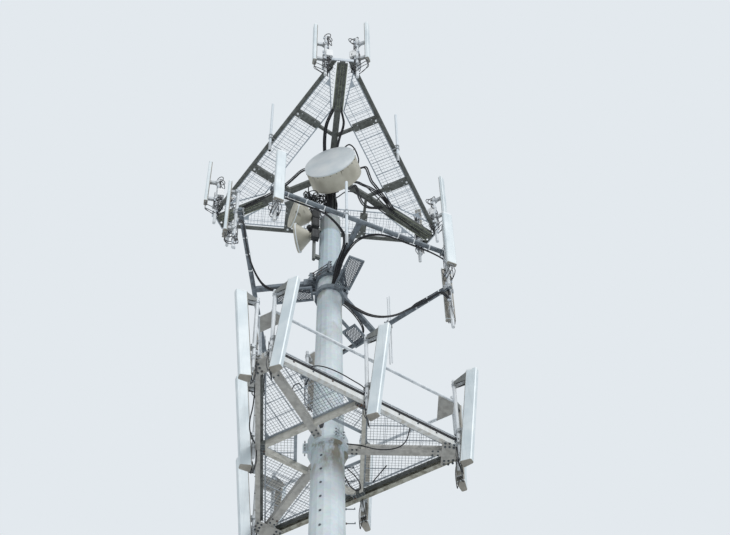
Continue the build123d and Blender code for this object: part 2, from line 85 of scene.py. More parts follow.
def add_node(tree, kind, sockets=None, **settings):
    """Adds a node with its settings; a socket takes a value or a link."""
    made = tree.nodes.new("ShaderNode" + kind)
    for name, value in settings.items():
        setattr(made, name, value)
    for name, value in (sockets or {}).items():
        if isinstance(value, bpy.types.NodeSocket):
            tree.links.new(value, made.inputs[name])
        else:
            made.inputs[name].default_value = value
    return made


def empty_material(name):
    """A named material with no nodes yet, and its node tree."""
    made = bpy.data.materials.new(name)
    made.use_nodes = True
    made.node_tree.nodes.clear()
    return made, made.node_tree


pale_floor, tree = empty_material("pale_concrete_floor")
grain = add_node(tree, "TexNoise", {"Scale": 0.6, "Detail": 4.0})
shade = add_node(tree, "Mix", {
    0: grain.outputs["Fac"], 6: linear(floor_dull), 7: linear(floor_light)}, data_type="RGBA")
shader = add_node(tree, "BsdfPrincipled", {"Base Color": shade.outputs[2], "Roughness": 0.9})
add_node(tree, "OutputMaterial", {"Surface": shader.outputs[0]})
floor_mesh = bpy.data.meshes.new("ground_floor")
corners = [(x * floor_half, y * floor_half, 0) for x, y in ((-1, -1), (1, -1), (1, 1), (-1, 1))]
floor_mesh.from_pydata(corners, [], [(0, 1, 2, 3)])
floor_mesh.materials.append(pale_floor)
floor = bpy.data.objects.new("ground_floor", floor_mesh)
bpy.context.scene.collection.objects.link(floor)

world = bpy.data.worlds.new("even_pale_sky")
bpy.context.scene.world = world
world.use_nodes = True
tree = world.node_tree
tree.nodes.clear()
rays = add_node(tree, "LightPath")
seen = add_node(tree, "Math", {
    0: rays.outputs["Is Camera Ray"], 1: rays.outputs["Is Glossy Ray"]}, operation="MAXIMUM")
seen = add_node(tree, "Math", {
    0: seen.outputs[0], 1: rays.outputs["Is Transmission Ray"]}, operation="MAXIMUM")
lit = add_node(tree, "Background", {"Color": (1.0, 1.0, 1.0, 1.0), "Strength": sky_strength})
shown = add_node(tree, "Background", {"Color": linear(background_colour), "Strength": 1.0})
sky = add_node(tree, "MixShader", {0: seen.outputs[0], 1: lit.outputs[0], 2: shown.outputs[0]})
add_node(tree, "OutputWorld", {"Surface": sky.outputs[0]})

lamp_data = bpy.data.lights.new("soft_lamp", "SUN")
lamp_data.energy = lamp_strength
lamp_data.angle = lamp_width_angle
lamp = bpy.data.objects.new("soft_lamp", lamp_data)
lamp_from = Vector((cos(lamp_azimuth), sin(lamp_azimuth), tan(lamp_height_angle)))
lamp.rotation_euler = lamp_from.to_track_quat("Z", "Y").to_euler()
bpy.context.scene.collection.objects.link(lamp)
bpy.context.scene.view_settings.view_transform = "Standard"

# Base flange. A round plate cut from 60 mm mild steel and dipped in molten zinc with
# the lowest pole section, held down by twelve studs with a washer and two nuts each.
plate_top = 0.060
stud_count = 12
stud_circle = 0.658
stud_radius = 0.028
stud_height = 0.150
stud_sink = 0.050
nut_half = 0.0425
nut_height = 0.045
washer_radius = 0.054
washer_height = 0.008
weld_leg = 0.016
pole_sides = 16
pole_corner = 1 / cos(pi / pole_sides)
pole_base_half = 0.523
pole_taper = 0.0183
pole_wall = 0.008
upright = Vector((0, 0, 1))


def clouded_finish(name, shades, scale, detail, roughness, spread=(0.0, 1.0), metallic=0.0, grain=None):
    """Two close shades in soft clouds, as weather leaves them, on a plain or grained face."""
    made, tree = empty_material(name)
    place = add_node(tree, "TexCoord")
    cloud = add_node(tree, "TexNoise", {
        "Vector": place.outputs["Object"], "Scale": scale, "Detail": detail})
    tone = add_node(tree, "MapRange", {
        "Value": cloud.outputs["Fac"], "From Min": spread[0], "From Max": spread[1]})
    shade = add_node(tree, "Mix", {
        0: tone.outputs[0], 6: linear(shades[0]), 7: linear(shades[1])}, data_type="RGBA")
    surface = {"Base Color": shade.outputs[2], "Metallic": metallic, "Roughness": roughness}
    if grain:
        size, grain_detail, strength = grain
        relief = add_node(tree, "TexNoise", {
            "Vector": place.outputs["Object"], "Scale": 1 / size, "Detail": grain_detail})
        bump = add_node(tree, "Bump", {
            "Height": relief.outputs["Fac"], "Strength": strength, "Distance": 0.001})
        surface["Normal"] = bump.outputs[0]
    shader = add_node(tree, "BsdfPrincipled", surface)
    add_node(tree, "OutputMaterial", {"Surface": shader.outputs[0]})
    return made


def spot(azimuth, along, across, z):
    """A point at a height, out along an azimuth and across it."""
    c = cos(radians(azimuth))
    s = sin(radians(azimuth))
    return Vector((along * c - across * s, along * s + across * c, z))


def hoop(centre, axis, radius, sides):
    """The corner points of a regular polygon square to an axis."""
    axis = axis.normalized()
    side = axis.orthogonal() if abs(axis.z) > 0.999 else upright.cross(axis)
    side = side.normalized()
    other = axis.cross(side)
    turns = [2 * pi * (i + 0.5) / sides for i in range(sides)]
    return [centre + radius * (cos(a) * side + sin(a) * other) for a in turns]


def loft(mesh, rings):
    """Skins a row of rings of points and closes both ends."""
    rows = [[mesh.verts.new(p) for p in ring] for ring in rings]
    for low, high in zip(rows, rows[1:]):
        for i in range(len(low)):
            j = (i + 1) % len(low)
            mesh.faces.new((low[i], low[j], high[j], high[i]))
    mesh.faces.new(rows[0][::-1])
    mesh.faces.new(rows[-1])


def rod(mesh, start, end, radius, sides=8):
    """A straight round rod with a small chamfer at both ends."""
    axis = end - start
    inset = axis.normalized() * min(radius * 0.2, axis.length * 0.2)
    rings = [hoop(start, axis, radius * 0.8, sides), hoop(start + inset, axis, radius, sides)]
    rings += [hoop(end - inset, axis, radius, sides), hoop(end, axis, radius * 0.8, sides)]
    loft(mesh, rings)


def nut(mesh, foot, axis, half, height):
    """A hexagon nut or bolt head with its top corners taken off."""
    axis = axis.normalized()
    corner = half / cos(radians(30))
    rings = [hoop(foot, axis, corner, 6), hoop(foot + axis * height * 0.85, axis, corner, 6)]
    rings.append(hoop(foot + axis * height, axis, half * 0.95, 6))
    loft(mesh, rings)


def piece(name, mesh, material):
    """Turns built faces into a named piece that stands with the tower."""
    sharp_from = radians(38)
    bmesh.ops.recalc_face_normals(mesh, faces=mesh.faces)
    for edge in mesh.edges:
        edge.smooth = len(edge.link_faces) == 2 and edge.calc_face_angle() < sharp_from
    for face in mesh.faces:
        face.smooth = True
    data = bpy.data.meshes.new(name)
    mesh.to_mesh(data)
    mesh.free()
    data.materials.append(material)
    made = bpy.data.objects.new(name, data)
    bpy.context.scene.collection.objects.link(made)
    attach(made, "root")


def dress(material, *names):
    """Gives CAD nodes their finish."""
    for name in names:
        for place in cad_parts[name].material_slots:
            place.material = material


def pole_half(z, section=2):
    """The pole's half width across flats at a height, for one of its sections."""
    return pole_base_half - pole_taper * z / 2 + section * pole_wall


# Zinc-plated steel of the fasteners: bright when new, now a dull grey with a little rust.
fastener = clouded_finish(
    "zinc_plated_fasteners", ("#5d656b", "#6b4a35"), 9.0, 3.0, 0.5, spread=(0.55, 0.7), metallic=0.6)
mesh = bmesh.new()
for i in range(stud_count):
    foot = spot(i * 360 / stud_count, stud_circle, 0, plate_top)
    washer_top = foot + upright * washer_height
    loft(mesh, [hoop(foot, upright, washer_radius, 20), hoop(washer_top, upright, washer_radius, 20)])
    nut(mesh, washer_top, upright, nut_half, nut_height)
    nut(mesh, foot + upright * (washer_height + nut_height), upright, nut_half, nut_height * 0.8)
    rod(mesh, foot - upright * stud_sink, foot + upright * stud_height, stud_radius, 12)
piece("anchor_studs_and_nuts", mesh, fastener)

# Pole. Three slip-jointed sections of folded steel sheet, hot-dip galvanised: matt pale
# zinc, blotched with brown-grey dirt where rain runs off the collars and the cap, with a
# painted shade above the ring, and browner above the joint band.
zinc_light = "#c9d5db"
zinc_dull = "#aebbc2"
# Painted shade: the pole above the ring is drawn in this darker zinc colour.
painted_shade_above_ring = "#9fb0ba"
zinc_above_band = "#84898a"
stain_brown = "#86857a"
stain_runs = ((26.18, 1.0, 1.6), (31.31, 2.2, 0.6), (34.38, 0.5, 0.6))
crystal_size = 0.060
pole_zinc, tree = empty_material("hot_dip_galvanised_steel")
place = add_node(tree, "TexCoord")
patches = add_node(tree, "TexNoise", {
    "Vector": place.outputs["Object"], "Scale": 1.1, "Detail": 4.0, "Roughness": 0.55})
tone = add_node(tree, "MapRange", {
    "Value": patches.outputs["Fac"], "From Min": 0.32, "From Max": 0.68})
zinc = add_node(tree, "Mix", {
    0: tone.outputs[0], 6: linear(zinc_dull), 7: linear(zinc_light)}, data_type="RGBA")
drawn = add_node(tree, "Mapping", {"Vector": place.outputs["Object"], "Scale": (2.4, 2.4, 1.0)})
blotches = add_node(tree, "TexNoise", {
    "Vector": drawn.outputs[0], "Scale": 1.0, "Detail": 6.0, "Roughness": 0.62})
blotch_mask = add_node(tree, "MapRange", {
    "Value": blotches.outputs["Fac"], "From Min": 0.44, "From Max": 0.54})
height = add_node(tree, "SeparateXYZ", {0: place.outputs["Object"]})
# Each run starts under a collar or the cap, at its height, and fades over its length.
mask = None
for run_top, run_length, strength in stain_runs:
    fade = add_node(tree, "MapRange", {
        "Value": height.outputs["Z"], "From Min": run_top - run_length, "From Max": run_top,
        "To Max": strength})
    below = add_node(tree, "Math", {0: height.outputs["Z"], 1: run_top + 0.02}, operation="LESS_THAN")
    run = add_node(tree, "Math", {0: fade.outputs[0], 1: below.outputs[0]}, operation="MULTIPLY")
    if mask:
        run = add_node(tree, "Math", {0: mask.outputs[0], 1: run.outputs[0]}, operation="MAXIMUM")
    mask = run
mask = add_node(tree, "Math", {0: mask.outputs[0], 1: 0.90, 2: 0.10}, operation="MULTIPLY_ADD")
stain = add_node(tree, "Math", {0: mask.outputs[0], 1: blotch_mask.outputs[0]}, operation="MULTIPLY")
shade = add_node(tree, "Mix", {
    0: stain.outputs[0], 6: zinc.outputs[2], 7: linear(stain_brown)}, data_type="RGBA")
# Two darker tones, each from the heights between which it sets in: a painted shade above
# the ring, and a darker brown-grey above the joint band.
for low, high, strength, colour in (
        (31.80, 32.20, 0.75, painted_shade_above_ring), (33.79, 33.80, 0.8, zinc_above_band)):
    above = add_node(tree, "MapRange", {
        "Value": height.outputs["Z"], "From Min": low, "From Max": high, "To Max": strength})
    shade = add_node(tree, "Mix", {
        0: above.outputs[0], 6: shade.outputs[2], 7: linear(colour)}, data_type="RGBA")
# Zinc crystals are 5 to 15 mm across; they are drawn 60 mm across so that they show.
spangle = add_node(tree, "TexVoronoi", {"Vector": place.outputs["Object"], "Scale": 1 / crystal_size})
shade = add_node(tree, "Mix", {
    0: 0.06, 6: shade.outputs[2], 7: spangle.outputs["Color"]}, data_type="RGBA", blend_type="OVERLAY")
rough = add_node(tree, "MapRange", {"Value": patches.outputs["Fac"], "To Min": 0.55, "To Max": 0.75})
bump = add_node(tree, "Bump", {
    "Height": spangle.outputs["Distance"], "Strength": 0.06, "Distance": 0.002})
shader = add_node(tree, "BsdfPrincipled", {
    "Base Color": shade.outputs[2], "Roughness": rough.outputs[0], "Normal": bump.outputs[0]})
add_node(tree, "OutputMaterial", {"Surface": shader.outputs[0]})
dress(pole_zinc, "base_flange", "pole_lower", "pole_middle", "pole_upper", "pole_cap", "deck_collar")

foot_half = pole_half(plate_top, 0)
rings = []
for z, half in ((plate_top, foot_half + weld_leg), (plate_top + weld_leg, foot_half + 0.001)):
    rings.append(hoop(upright * z, upright, half * pole_corner, pole_sides))
mesh = bmesh.new()
loft(mesh, rings)
piece("pole_foot_weld", mesh, pole_zinc)

# Climbing pegs. Round mild steel rungs screwed into welded nuts on one flat of the
# pole, zinc-plated, with the end of each turned up so that a boot can't slip off. A
# second row of nuts stands empty on the front left.
peg_length = 0.175
peg_radius = 0.0095
peg_end_inset = 0.012
peg_end_height = 0.038
peg_nut_half = 0.017
peg_nut_height = 0.024
peg_heights = [3.0 + 0.38 * i for i in range(61)]
section_feet = (11.1, 22.2)
spare_azimuth = -112.5
spare_nut_radius = 0.024
mesh, spares = bmesh.new(), bmesh.new()
for z in peg_heights:
    face = pole_half(z, sum(z > foot for foot in section_feet))
    nut(mesh, spot(0, face - 0.001, 0, z), spot(0, 1, 0, 0), peg_nut_half, peg_nut_height)
    end = spot(0, face + peg_length - peg_end_inset, 0, z)
    rod(mesh, end, end + upright * peg_end_height, peg_radius)
    low = spot(spare_azimuth, face - 0.002, 0, z)
    rod(spares, low, spot(spare_azimuth, face + 0.014, 0, z), spare_nut_radius, 10)
piece("peg_nuts_and_ends", mesh, fastener)
dress(fastener, "climbing_pegs")
piece("spare_peg_nuts", spares, fastener)

# Joint band near the pole's top. A strap of galvanised steel, folded to the pole's
# sixteen sides and drawn up tight over the seam.
band_zs = (33.780, 33.815)
band_thickness = 0.004
mesh = bmesh.new()
loft(mesh, [
    hoop(upright * z, upright, (pole_half(z) + band_thickness) * pole_corner, pole_sides) for z in band_zs])
piece("pole_top_band", mesh, pole_zinc)

# Hand hole. An oval opening in the pole wall above the middle platform's collar, with a
# welded rim and a black polyethylene cover.
hole_z = 26.700
hole_half_width = 0.048
hole_half_height = 0.140
# Black polyethylene, moulded for covers and boots and extruded over cables: dusty and
# half glossy.
cable_black = clouded_finish("black_polyethylene", ("#0b0c10", "#1d2028"), 12.0, 3.0, 0.45)


def hole_part(steps, sides=24):
    """Upright ovals about the hand hole, skinned: each stands a step out and is grown a little."""
    face = pole_half(hole_z)
    turns = [2 * pi * i / sides for i in range(sides)]
    rings = []
    for step, grow in steps:
        wide = hole_half_width + grow
        tall = hole_half_height + grow
        rings.append([spot(spare_azimuth, face + step, wide * cos(a), hole_z + tall * sin(a)) for a in turns])
    mesh = bmesh.new()
    loft(mesh, rings)
    return mesh


rim = hole_part(((-0.02, 0.020), (0.014, 0.020), (0.018, 0.016)))
piece("hand_hole_rim", rim, pole_zinc)
piece("hand_hole_cover", hole_part(((0.0, 0.0), (0.022, 0.0), (0.026, -0.006))), cable_black)

# Middle platform. Rolled channel and box sections, galvanised and now a warm stained
# grey, bolted through the gussets, the corner plates and the split collar.
deck_z = 26.340
deck_corners = {"right": 0.8, "far": 120.8, "near": 240.8}
deck_sides = {"front": -59.2, "back": 60.8, "left": 180.8}
deck_corner_radius = 2.540
deck_apothem = deck_corner_radius / 2
beam_half = 0.045
beam_height = 0.140
deck_low = deck_z - beam_height / 2
deck_top = deck_z + beam_height / 2
beam_inner = deck_apothem - beam_half
beam_outer = deck_apothem + beam_half
downward = Vector((0, 0, -1))


def weathered_steel(name, clean, dull, dirt_and_shade, metal):
    """Galvanised steel with dull patches and faint runs of dirt; its downward faces take more of the dark
    colour, a painted shade.
    """
    made, tree = empty_material(name)
    place = add_node(tree, "TexCoord")
    patches = add_node(tree, "TexNoise", {
        "Vector": place.outputs["Object"], "Scale": 2.2, "Detail": 6.0, "Roughness": 0.62})
    tone = add_node(tree, "MapRange", {
        "Value": patches.outputs["Fac"], "From Min": 0.36, "From Max": 0.66})
    zinc = add_node(tree, "Mix", {
        0: tone.outputs[0], 6: linear(dull), 7: linear(clean)}, data_type="RGBA")
    drawn = add_node(tree, "Mapping", {"Vector": place.outputs["Object"], "Scale": (11.0, 11.0, 1.4)})
    streaks = add_node(tree, "TexNoise", {"Vector": drawn.outputs[0], "Scale": 1.0, "Detail": 4.0})
    face = add_node(tree, "NewGeometry")
    slope = add_node(tree, "SeparateXYZ", {0: face.outputs["Normal"]})
    # Painted shade: faces that point down take more of the dark colour, as if in shade; the streaks add the
    # runs of dirt.
    under = add_node(tree, "MapRange", {
        "Value": slope.outputs["Z"], "From Min": 0.2, "From Max": -0.9, "To Min": 0.25, "To Max": 0.8})
    dirty = add_node(tree, "MapRange", {
        "Value": streaks.outputs["Fac"], "From Min": 0.42, "From Max": 0.66})
    amount = add_node(tree, "Math", {0: under.outputs[0], 1: dirty.outputs[0]}, operation="MULTIPLY")
    soiled_and_shaded = add_node(tree, "Mix", {
        0: amount.outputs[0], 6: zinc.outputs[2], 7: linear(dirt_and_shade)}, data_type="RGBA")
    rough = add_node(tree, "MapRange", {"Value": patches.outputs["Fac"], "To Min": 0.5, "To Max": 0.75})
    bump = add_node(tree, "Bump", {
        "Height": streaks.outputs["Fac"], "Strength": 0.10, "Distance": 0.002})
    shader = add_node(tree, "BsdfPrincipled", {
        "Base Color": soiled_and_shaded.outputs[2], "Metallic": metal, "Roughness": rough.outputs[0],
        "Normal": bump.outputs[0]})
    add_node(tree, "OutputMaterial", {"Surface": shader.outputs[0]})
    return made


def bolt(mesh, foot, axis, half):
    """A washer, a bolt head on it and the stub of the thread."""
    axis = axis.normalized()
    seat = foot + axis * half * 0.25
    loft(mesh, [hoop(foot, axis, half * 1.55, 10), hoop(seat, axis, half * 1.55, 10)])
    nut(mesh, seat, axis, half, half)
    loft(mesh, [hoop(foot, axis, half * 0.5, 6), hoop(foot + axis * half * 1.7, axis, half * 0.5, 6)])


def hanging_bolts(mesh, azimuth, alongs, acrosses, z, half):
    """Bolts put up through a level face, in rows along and across an azimuth."""
    for along in alongs:
        for across in acrosses:
            bolt(mesh, spot(azimuth, along, across, z), downward, half)


beam_steel = weathered_steel("galvanised_rolled_steel", "#d4d8d9", "#c0c5c6", "#aeaba2", 0.05)
rail_steel = weathered_steel("galvanised_rail_tube", "#e4eaef", "#d2dae1", "#b3bcc4", 0.0)
arm_steel = weathered_steel("galvanised_box_steel", "#b2b2ad", "#a1a2a0", "#8c8c89", 0.05)
angle_steel = weathered_steel("galvanised_angle_steel", "#c8c8c2", "#b5b5ae", "#9d9c95", 0.05)
stained_steel = weathered_steel("stained_channel_steel", "#b3b5ac", "#94958a", "#5e594b", 0.1)
# Painted shade: a darker copy of the galvanised steel, for the gussets, the ledger angles and the tilt plates
# that sit under the deck and behind the panels.
shaded_plate_steel = weathered_steel("galvanised_plate_steel", "#7b7f7e", "#656a6a", "#4c4e4a", 0.15)
# The collar's rods, like the aerials' clamps, were galvanised later and are still bright.
hardware = weathered_steel("bright_galvanised_hardware", "#c8ced3", "#a6adb3", "#7b7b77", 0.2)
dress(beam_steel, "deck_edge_front")
dress(rail_steel, "deck_toe_rails", "deck_hand_rails")
dress(stained_steel, "deck_edge_back")
dress(angle_steel, "deck_inner_beams")
dress(arm_steel, "deck_arms", "deck_edge_left", "deck_corner_plates", "rail_corner_plates")
dress(shaded_plate_steel, "deck_gussets")

corner_plate_low = deck_low - 0.012
plate_acrosses = (-0.24, -0.16, 0.16, 0.24)
plate_narrowing = 0.87941
gusset_alongs = (beam_inner - 0.022, beam_inner - 0.065)
ear_along = pole_half(deck_z - 0.16) + 0.120
ear_rod_length = 0.220
mesh, rods = bmesh.new(), bmesh.new()
for azimuth in deck_corners.values():
    # The corner plates narrow outwards, and the last row of their bolts draws in.
    drawn_in = [across * plate_narrowing for across in plate_acrosses]
    hanging_bolts(mesh, azimuth, (2.12, 2.20), plate_acrosses, corner_plate_low, 0.015)
    hanging_bolts(mesh, azimuth, (2.28,), drawn_in, corner_plate_low, 0.015)
    hanging_bolts(mesh, azimuth, (0.44, 0.52, 1.9, 2.0), (-0.045, 0.045), deck_low, 0.013)
for azimuth in deck_sides.values():
    hanging_bolts(mesh, azimuth, gusset_alongs, (-0.09, -0.03, 0.03, 0.09), deck_low, 0.014)
    for across in (-1.9, -1.5, -1.1, -0.7, 0.7, 1.1, 1.5, 1.9):
        bolt(mesh, spot(azimuth, beam_outer, across, deck_z + 0.035), spot(azimuth, 1, 0, 0), 0.012)
    for rise in (-0.085, 0.0, 0.085):
        z = deck_z + rise
        start = spot(azimuth, ear_along, -ear_rod_length / 2, z)
        rod(rods, start, start + spot(azimuth, 0, ear_rod_length, 0), 0.010)
        for side in (-1, 1):
            away = spot(azimuth, 0, side, 0)
            nut(rods, spot(azimuth, ear_along, side * 0.025, z), away, 0.015, 0.016)
            nut(mesh, spot(azimuth, ear_along, side * 0.075, z), away, 0.014, 0.014)
piece("deck_bolts", mesh, fastener)
piece("deck_collar_rods", rods, hardware)

# Ledger angles. Rolled steel angles along the inner faces of the edge beams, galvanised
# with them, which carry the outer edges of the gratings.
ledger_half = 1.780
ledger_leg = 0.050
ledger_thickness = 0.006
ledger_top = deck_top - 0.001
ledger_web_top = ledger_top - ledger_thickness


def slab(mesh, azimuth, alongs, acrosses, zs):
    """A square-cut bar or plate between two distances along, across and up."""
    rings = []
    for along in alongs:
        sides = [(0, 0), (1, 0), (1, 1), (0, 1)]
        rings.append([spot(azimuth, along, acrosses[i], zs[j]) for i, j in sides])
    loft(mesh, rings)


mesh = bmesh.new()
for azimuth in deck_sides.values():
    span = (-ledger_half, ledger_half)
    slab(mesh, azimuth, (beam_inner - ledger_leg, beam_inner), span, (ledger_web_top, ledger_top))
    webs = (ledger_web_top - 0.048, ledger_web_top)
    slab(mesh, azimuth, (beam_inner - ledger_thickness, beam_inner), span, webs)
piece("deck_ledger_angles", mesh, shaded_plate_steel)

# Platform gratings. Welded wire mesh with cells 60 mm square, galvanised and dulled to
# a dark blue-grey, bent a little where people have stood, on frames of flat bar.
wire_cell = 0.060
wire_radius = 0.0038
thin_wire_radius = 0.0025
wire_bend = 0.004
wire_z = deck_top + 0.010
grating_frame = weathered_steel("galvanised_flat_bar", "#a7b0b8", "#939da6", "#7c858d", 0.1)
wire_steel = weathered_steel("galvanised_mesh_wire", "#4a545f", "#3b444f", "#2f353c", 0.15)


def tube(mesh, path, radius, sides=6):
    """A round bar or wire bent through the points of a path."""
    rings = []
    for i, p in enumerate(path):
        before, after = path[max(i - 1, 0)], path[min(i + 1, len(path) - 1)]
        rings.append(hoop(p, after - before, radius, sides))
    loft(mesh, rings)


def middle_of(corners):
    """The mean of an outline's corners."""
    return sum(corners, Vector((0, 0, 0))) / len(corners)


def inside_length(corners, origin, direction):
    """Where a level line enters and leaves a convex outline, or None."""
    low, high = -1e9, 1e9
    middle = middle_of(corners)
    for corner, following in zip(corners, corners[1:] + corners[:1]):
        edge = following - corner
        normal = Vector((-edge.y, edge.x, 0))
        if normal.dot(middle - corner) < 0:
            normal = -normal
        slope = normal.dot(direction)
        offset = normal.dot(origin - corner)
        if abs(slope) < 1e-9:
            if offset < 0:
                return None
        elif slope > 0:
            low = max(low, -offset / slope)
        else:
            high = min(high, -offset / slope)
    return (low, high) if high - low > 0.02 else None


def wire_mesh(mesh, corners, z, azimuth, cells, radii):
    """Wires along an azimuth and others across them, inside an outline."""
    corners = [Vector((c.x, c.y, 0)) for c in corners]
    middle = middle_of(corners)
    along = spot(azimuth, 1, 0, 0)
    across = spot(azimuth, 0, 1, 0)
    for direction, sideways, cell, radius, lift in (
            (along, across, cells[0], radii[0], -radii[1]), (across, along, cells[1], radii[1], radii[0])):
        count = int(3.0 / cell)
        for i in range(-count, count + 1):
            origin = middle + sideways * (i * cell)
            found = inside_length(corners, origin, direction)
            if not found:
                continue
            steps = int((found[1] - found[0]) / 0.16) + 2
            path = []
            for k in range(steps + 1):
                reach = found[0] + (found[1] - found[0]) * k / steps
                bend = wire_bend * sin(2.7 * i + 11.0 * reach)
                path.append(origin + direction * reach + sideways * bend + upright * (z + lift + bend / 2))
            tube(mesh, path, radius, 4)


def four_sided(azimuth, low, low_half, high, high_half, margin):
    """A level outline between two distances along, drawn in towards its middle by a margin."""
    corners = [spot(azimuth, low, -low_half, 0), spot(azimuth, low, low_half, 0)]
    corners += [spot(azimuth, high, high_half, 0), spot(azimuth, high, -high_half, 0)]
    middle = middle_of(corners)
    return [c + (middle - c).normalized() * margin for c in corners]


mesh = bmesh.new()
corner_root = deck_apothem / 2 + 0.035 - 0.025
corner_point = deck_corner_radius - 0.078 / sin(radians(30))
corner_half = (corner_point - corner_root) * tan(radians(30))
inner_root = 0.560
inner_margin = 0.115
inner_gap = 0.014
inner_half = (deck_apothem - inner_root) * tan(radians(30)) - inner_gap
inner_tip_half = inner_margin * tan(radians(30)) - inner_gap
for name, azimuth in deck_corners.items():
    outline = four_sided(azimuth, corner_point - 0.060, 0.035, corner_root, corner_half, 0.004)
    radii = (wire_radius, thin_wire_radius) if name == "near" else (thin_wire_radius, wire_radius)
    wire_mesh(mesh, outline, wire_z, azimuth, (wire_cell, wire_cell), radii)
for azimuth in deck_sides.values():
    outline = four_sided(azimuth, deck_apothem - inner_margin, inner_tip_half, inner_root, inner_half, 0.02)
    wire_mesh(mesh, outline, wire_z, azimuth, (wire_cell, wire_cell), (thin_wire_radius, wire_radius))
piece("deck_wire_mesh", mesh, wire_steel)
dress(grating_frame, "deck_grating_right", "deck_grating_far", "deck_grating_near", "deck_grating_inner")

# Panel aerials. A glass-fibre cover over a folded aluminium tray, with a plastic cap and
# a foot plate with cable sockets, held by U-bolts to a pipe that two plates and four
# threaded rods grip to the platform's edge.
pipe_radius = 0.0365
panel_corner = 0.016
proud = 0.0004
cap_height = 0.035
tray_lip = 0.018
plug_radius = 0.012
boot_radius = 0.009
socket_xs = (-0.045, -0.015, 0.015, 0.045)
clamp_reach = 0.075
clamp_thread = 0.006
plate_thread = 0.007

# Glass-fibre cover: a smooth gel coat, faintly clouded, with grey runs drawn by rain.
radome, tree = empty_material("glass_fibre_gel_coat")
place = add_node(tree, "TexCoord")
cloud = add_node(tree, "TexNoise", {"Vector": place.outputs["Object"], "Scale": 1.8, "Detail": 4.0})
tone = add_node(tree, "MapRange", {"Value": cloud.outputs["Fac"], "From Min": 0.35, "From Max": 0.65})
gel = add_node(tree, "Mix", {
    0: tone.outputs[0], 6: linear("#bfccd3"), 7: linear("#d3dde2")}, data_type="RGBA")
drawn = add_node(tree, "Mapping", {"Vector": place.outputs["Object"], "Scale": (22.0, 22.0, 1.1)})
rain = add_node(tree, "TexNoise", {"Vector": drawn.outputs[0], "Scale": 1.0, "Detail": 3.0})
rain_mask = add_node(tree, "MapRange", {
    "Value": rain.outputs["Fac"], "From Min": 0.55, "From Max": 0.75, "To Max": 0.22})
washed = add_node(tree, "Mix", {
    0: rain_mask.outputs[0], 6: gel.outputs[2], 7: linear("#8b9496")}, data_type="RGBA")
shader = add_node(tree, "BsdfPrincipled", {
    "Base Color": washed.outputs[2], "Roughness": 0.42, "Coat Weight": 0.15, "Coat Roughness": 0.3})
add_node(tree, "OutputMaterial", {"Surface": shader.outputs[0]})
# Tray and foot plate: mill-finish aluminium gone brown-grey in the weather, and drawn darker
# still as a painted shade on the panels' backs.
tray_metal = clouded_finish(
    "weathered_and_shaded_aluminium_sheet", ("#84827b", "#9b9992"), 4.0, 5.0, 0.55, spread=(0.35, 0.65), metallic=0.15)
# Caps: white moulded plastic, faintly blue and semi-matt.
cap_plastic = clouded_finish("moulded_plastic_caps", ("#d3dbe0", "#e2e7ea"), 7.0, 2.0, 0.5)
aerial_kinds = (
    ("panel_trays", tray_metal, "panel_shell"), ("panel_caps", cap_plastic, "panel_shell"),
    ("tilt_plates", shaded_plate_steel, "dark_steel"), ("cable_plugs", hardware, None),
    ("cable_boots", cable_black, None), ("pipe_plates", hardware, "dark_steel"),
    ("pipe_bolts", hardware, "dark_steel"))


class Seat:
    """Where one panel aerial stands: its foot, its directions and its outline."""

    def __init__(self, foot, facing, size):
        lean = radians(size["tilt"])
        self.out = spot(facing, 1, 0, 0)
        self.x = spot(facing + 90, 1, 0, 0)
        self.up = upright * cos(lean) + self.out * sin(lean)
        self.y = self.up.cross(self.x)
        gap = size["gap"] - (size["pipe_low"] - size["low"]) * tan(lean)
        self.low = foot + self.out * (pipe_radius + gap + size["depth"] / 2)
        self.low.z = size["low"]
        self.foot = foot
        self.size = size

    def at(self, x, y, rise):
        """A point beside the panel's centre line at a rise above its foot."""
        return self.low + self.x * x + self.y * y + self.up * rise

    def outline(self, grow):
        """The panel's section with its corners taken off, drawn out a little."""
        front, back = self.size["front"] / 2 + grow, self.size["back"] / 2 + grow
        half, cut = self.size["depth"] / 2 + grow, panel_corner
        return [(-front + cut, -half), (front - cut, -half), (front, -half + cut), (back, half - cut),
                (back - cut, half), (-back + cut, half), (-back, half - cut), (-front, -half + cut)]


def panel_dress(meshes, seat, crown=0.020, under=True):
    """Cap, foot plate, back tray and cable sockets of one panel aerial."""
    length = seat.size["length"]
    half = seat.size["depth"] / 2
    cap = [(length - cap_height, proud), (length - 0.001, proud)]
    if crown:
        cap += [(length + 0.2 * crown, proud), (length + 0.8 * crown, -0.012), (length + crown, -0.035)]
    foot_plate = [(-0.018, -0.008), (-0.014, -0.001), (0.002, -0.001)]
    for kind, levels in (("panel_caps", cap), ("panel_trays", foot_plate)):
        loft(meshes[kind], [[seat.at(x, y, rise) for x, y in seat.outline(grow)] for rise, grow in levels])
    lip = half - tray_lip
    wide = seat.size["back"] / 2 + proud
    profile = [(-wide, lip), (wide, lip)]
    profile += [(x, y) for x, y in seat.outline(proud) if y > lip]
    ends = (0.03, length - 0.04)
    loft(meshes["panel_trays"], [[seat.at(x, y, rise) for x, y in profile] for rise in ends])
    y, top = (0.0, -0.012) if under else (half + 0.020, 0.16)
    sockets = []
    for x in socket_xs:
        rod(meshes["cable_plugs"], seat.at(x, y, top - 0.040), seat.at(x, y, top), plug_radius)
        rod(meshes["cable_boots"], seat.at(x, y, top - 0.090), seat.at(x, y, top - 0.036), boot_radius)
        sockets.append(seat.at(x, y, top - 0.085))
    return sockets


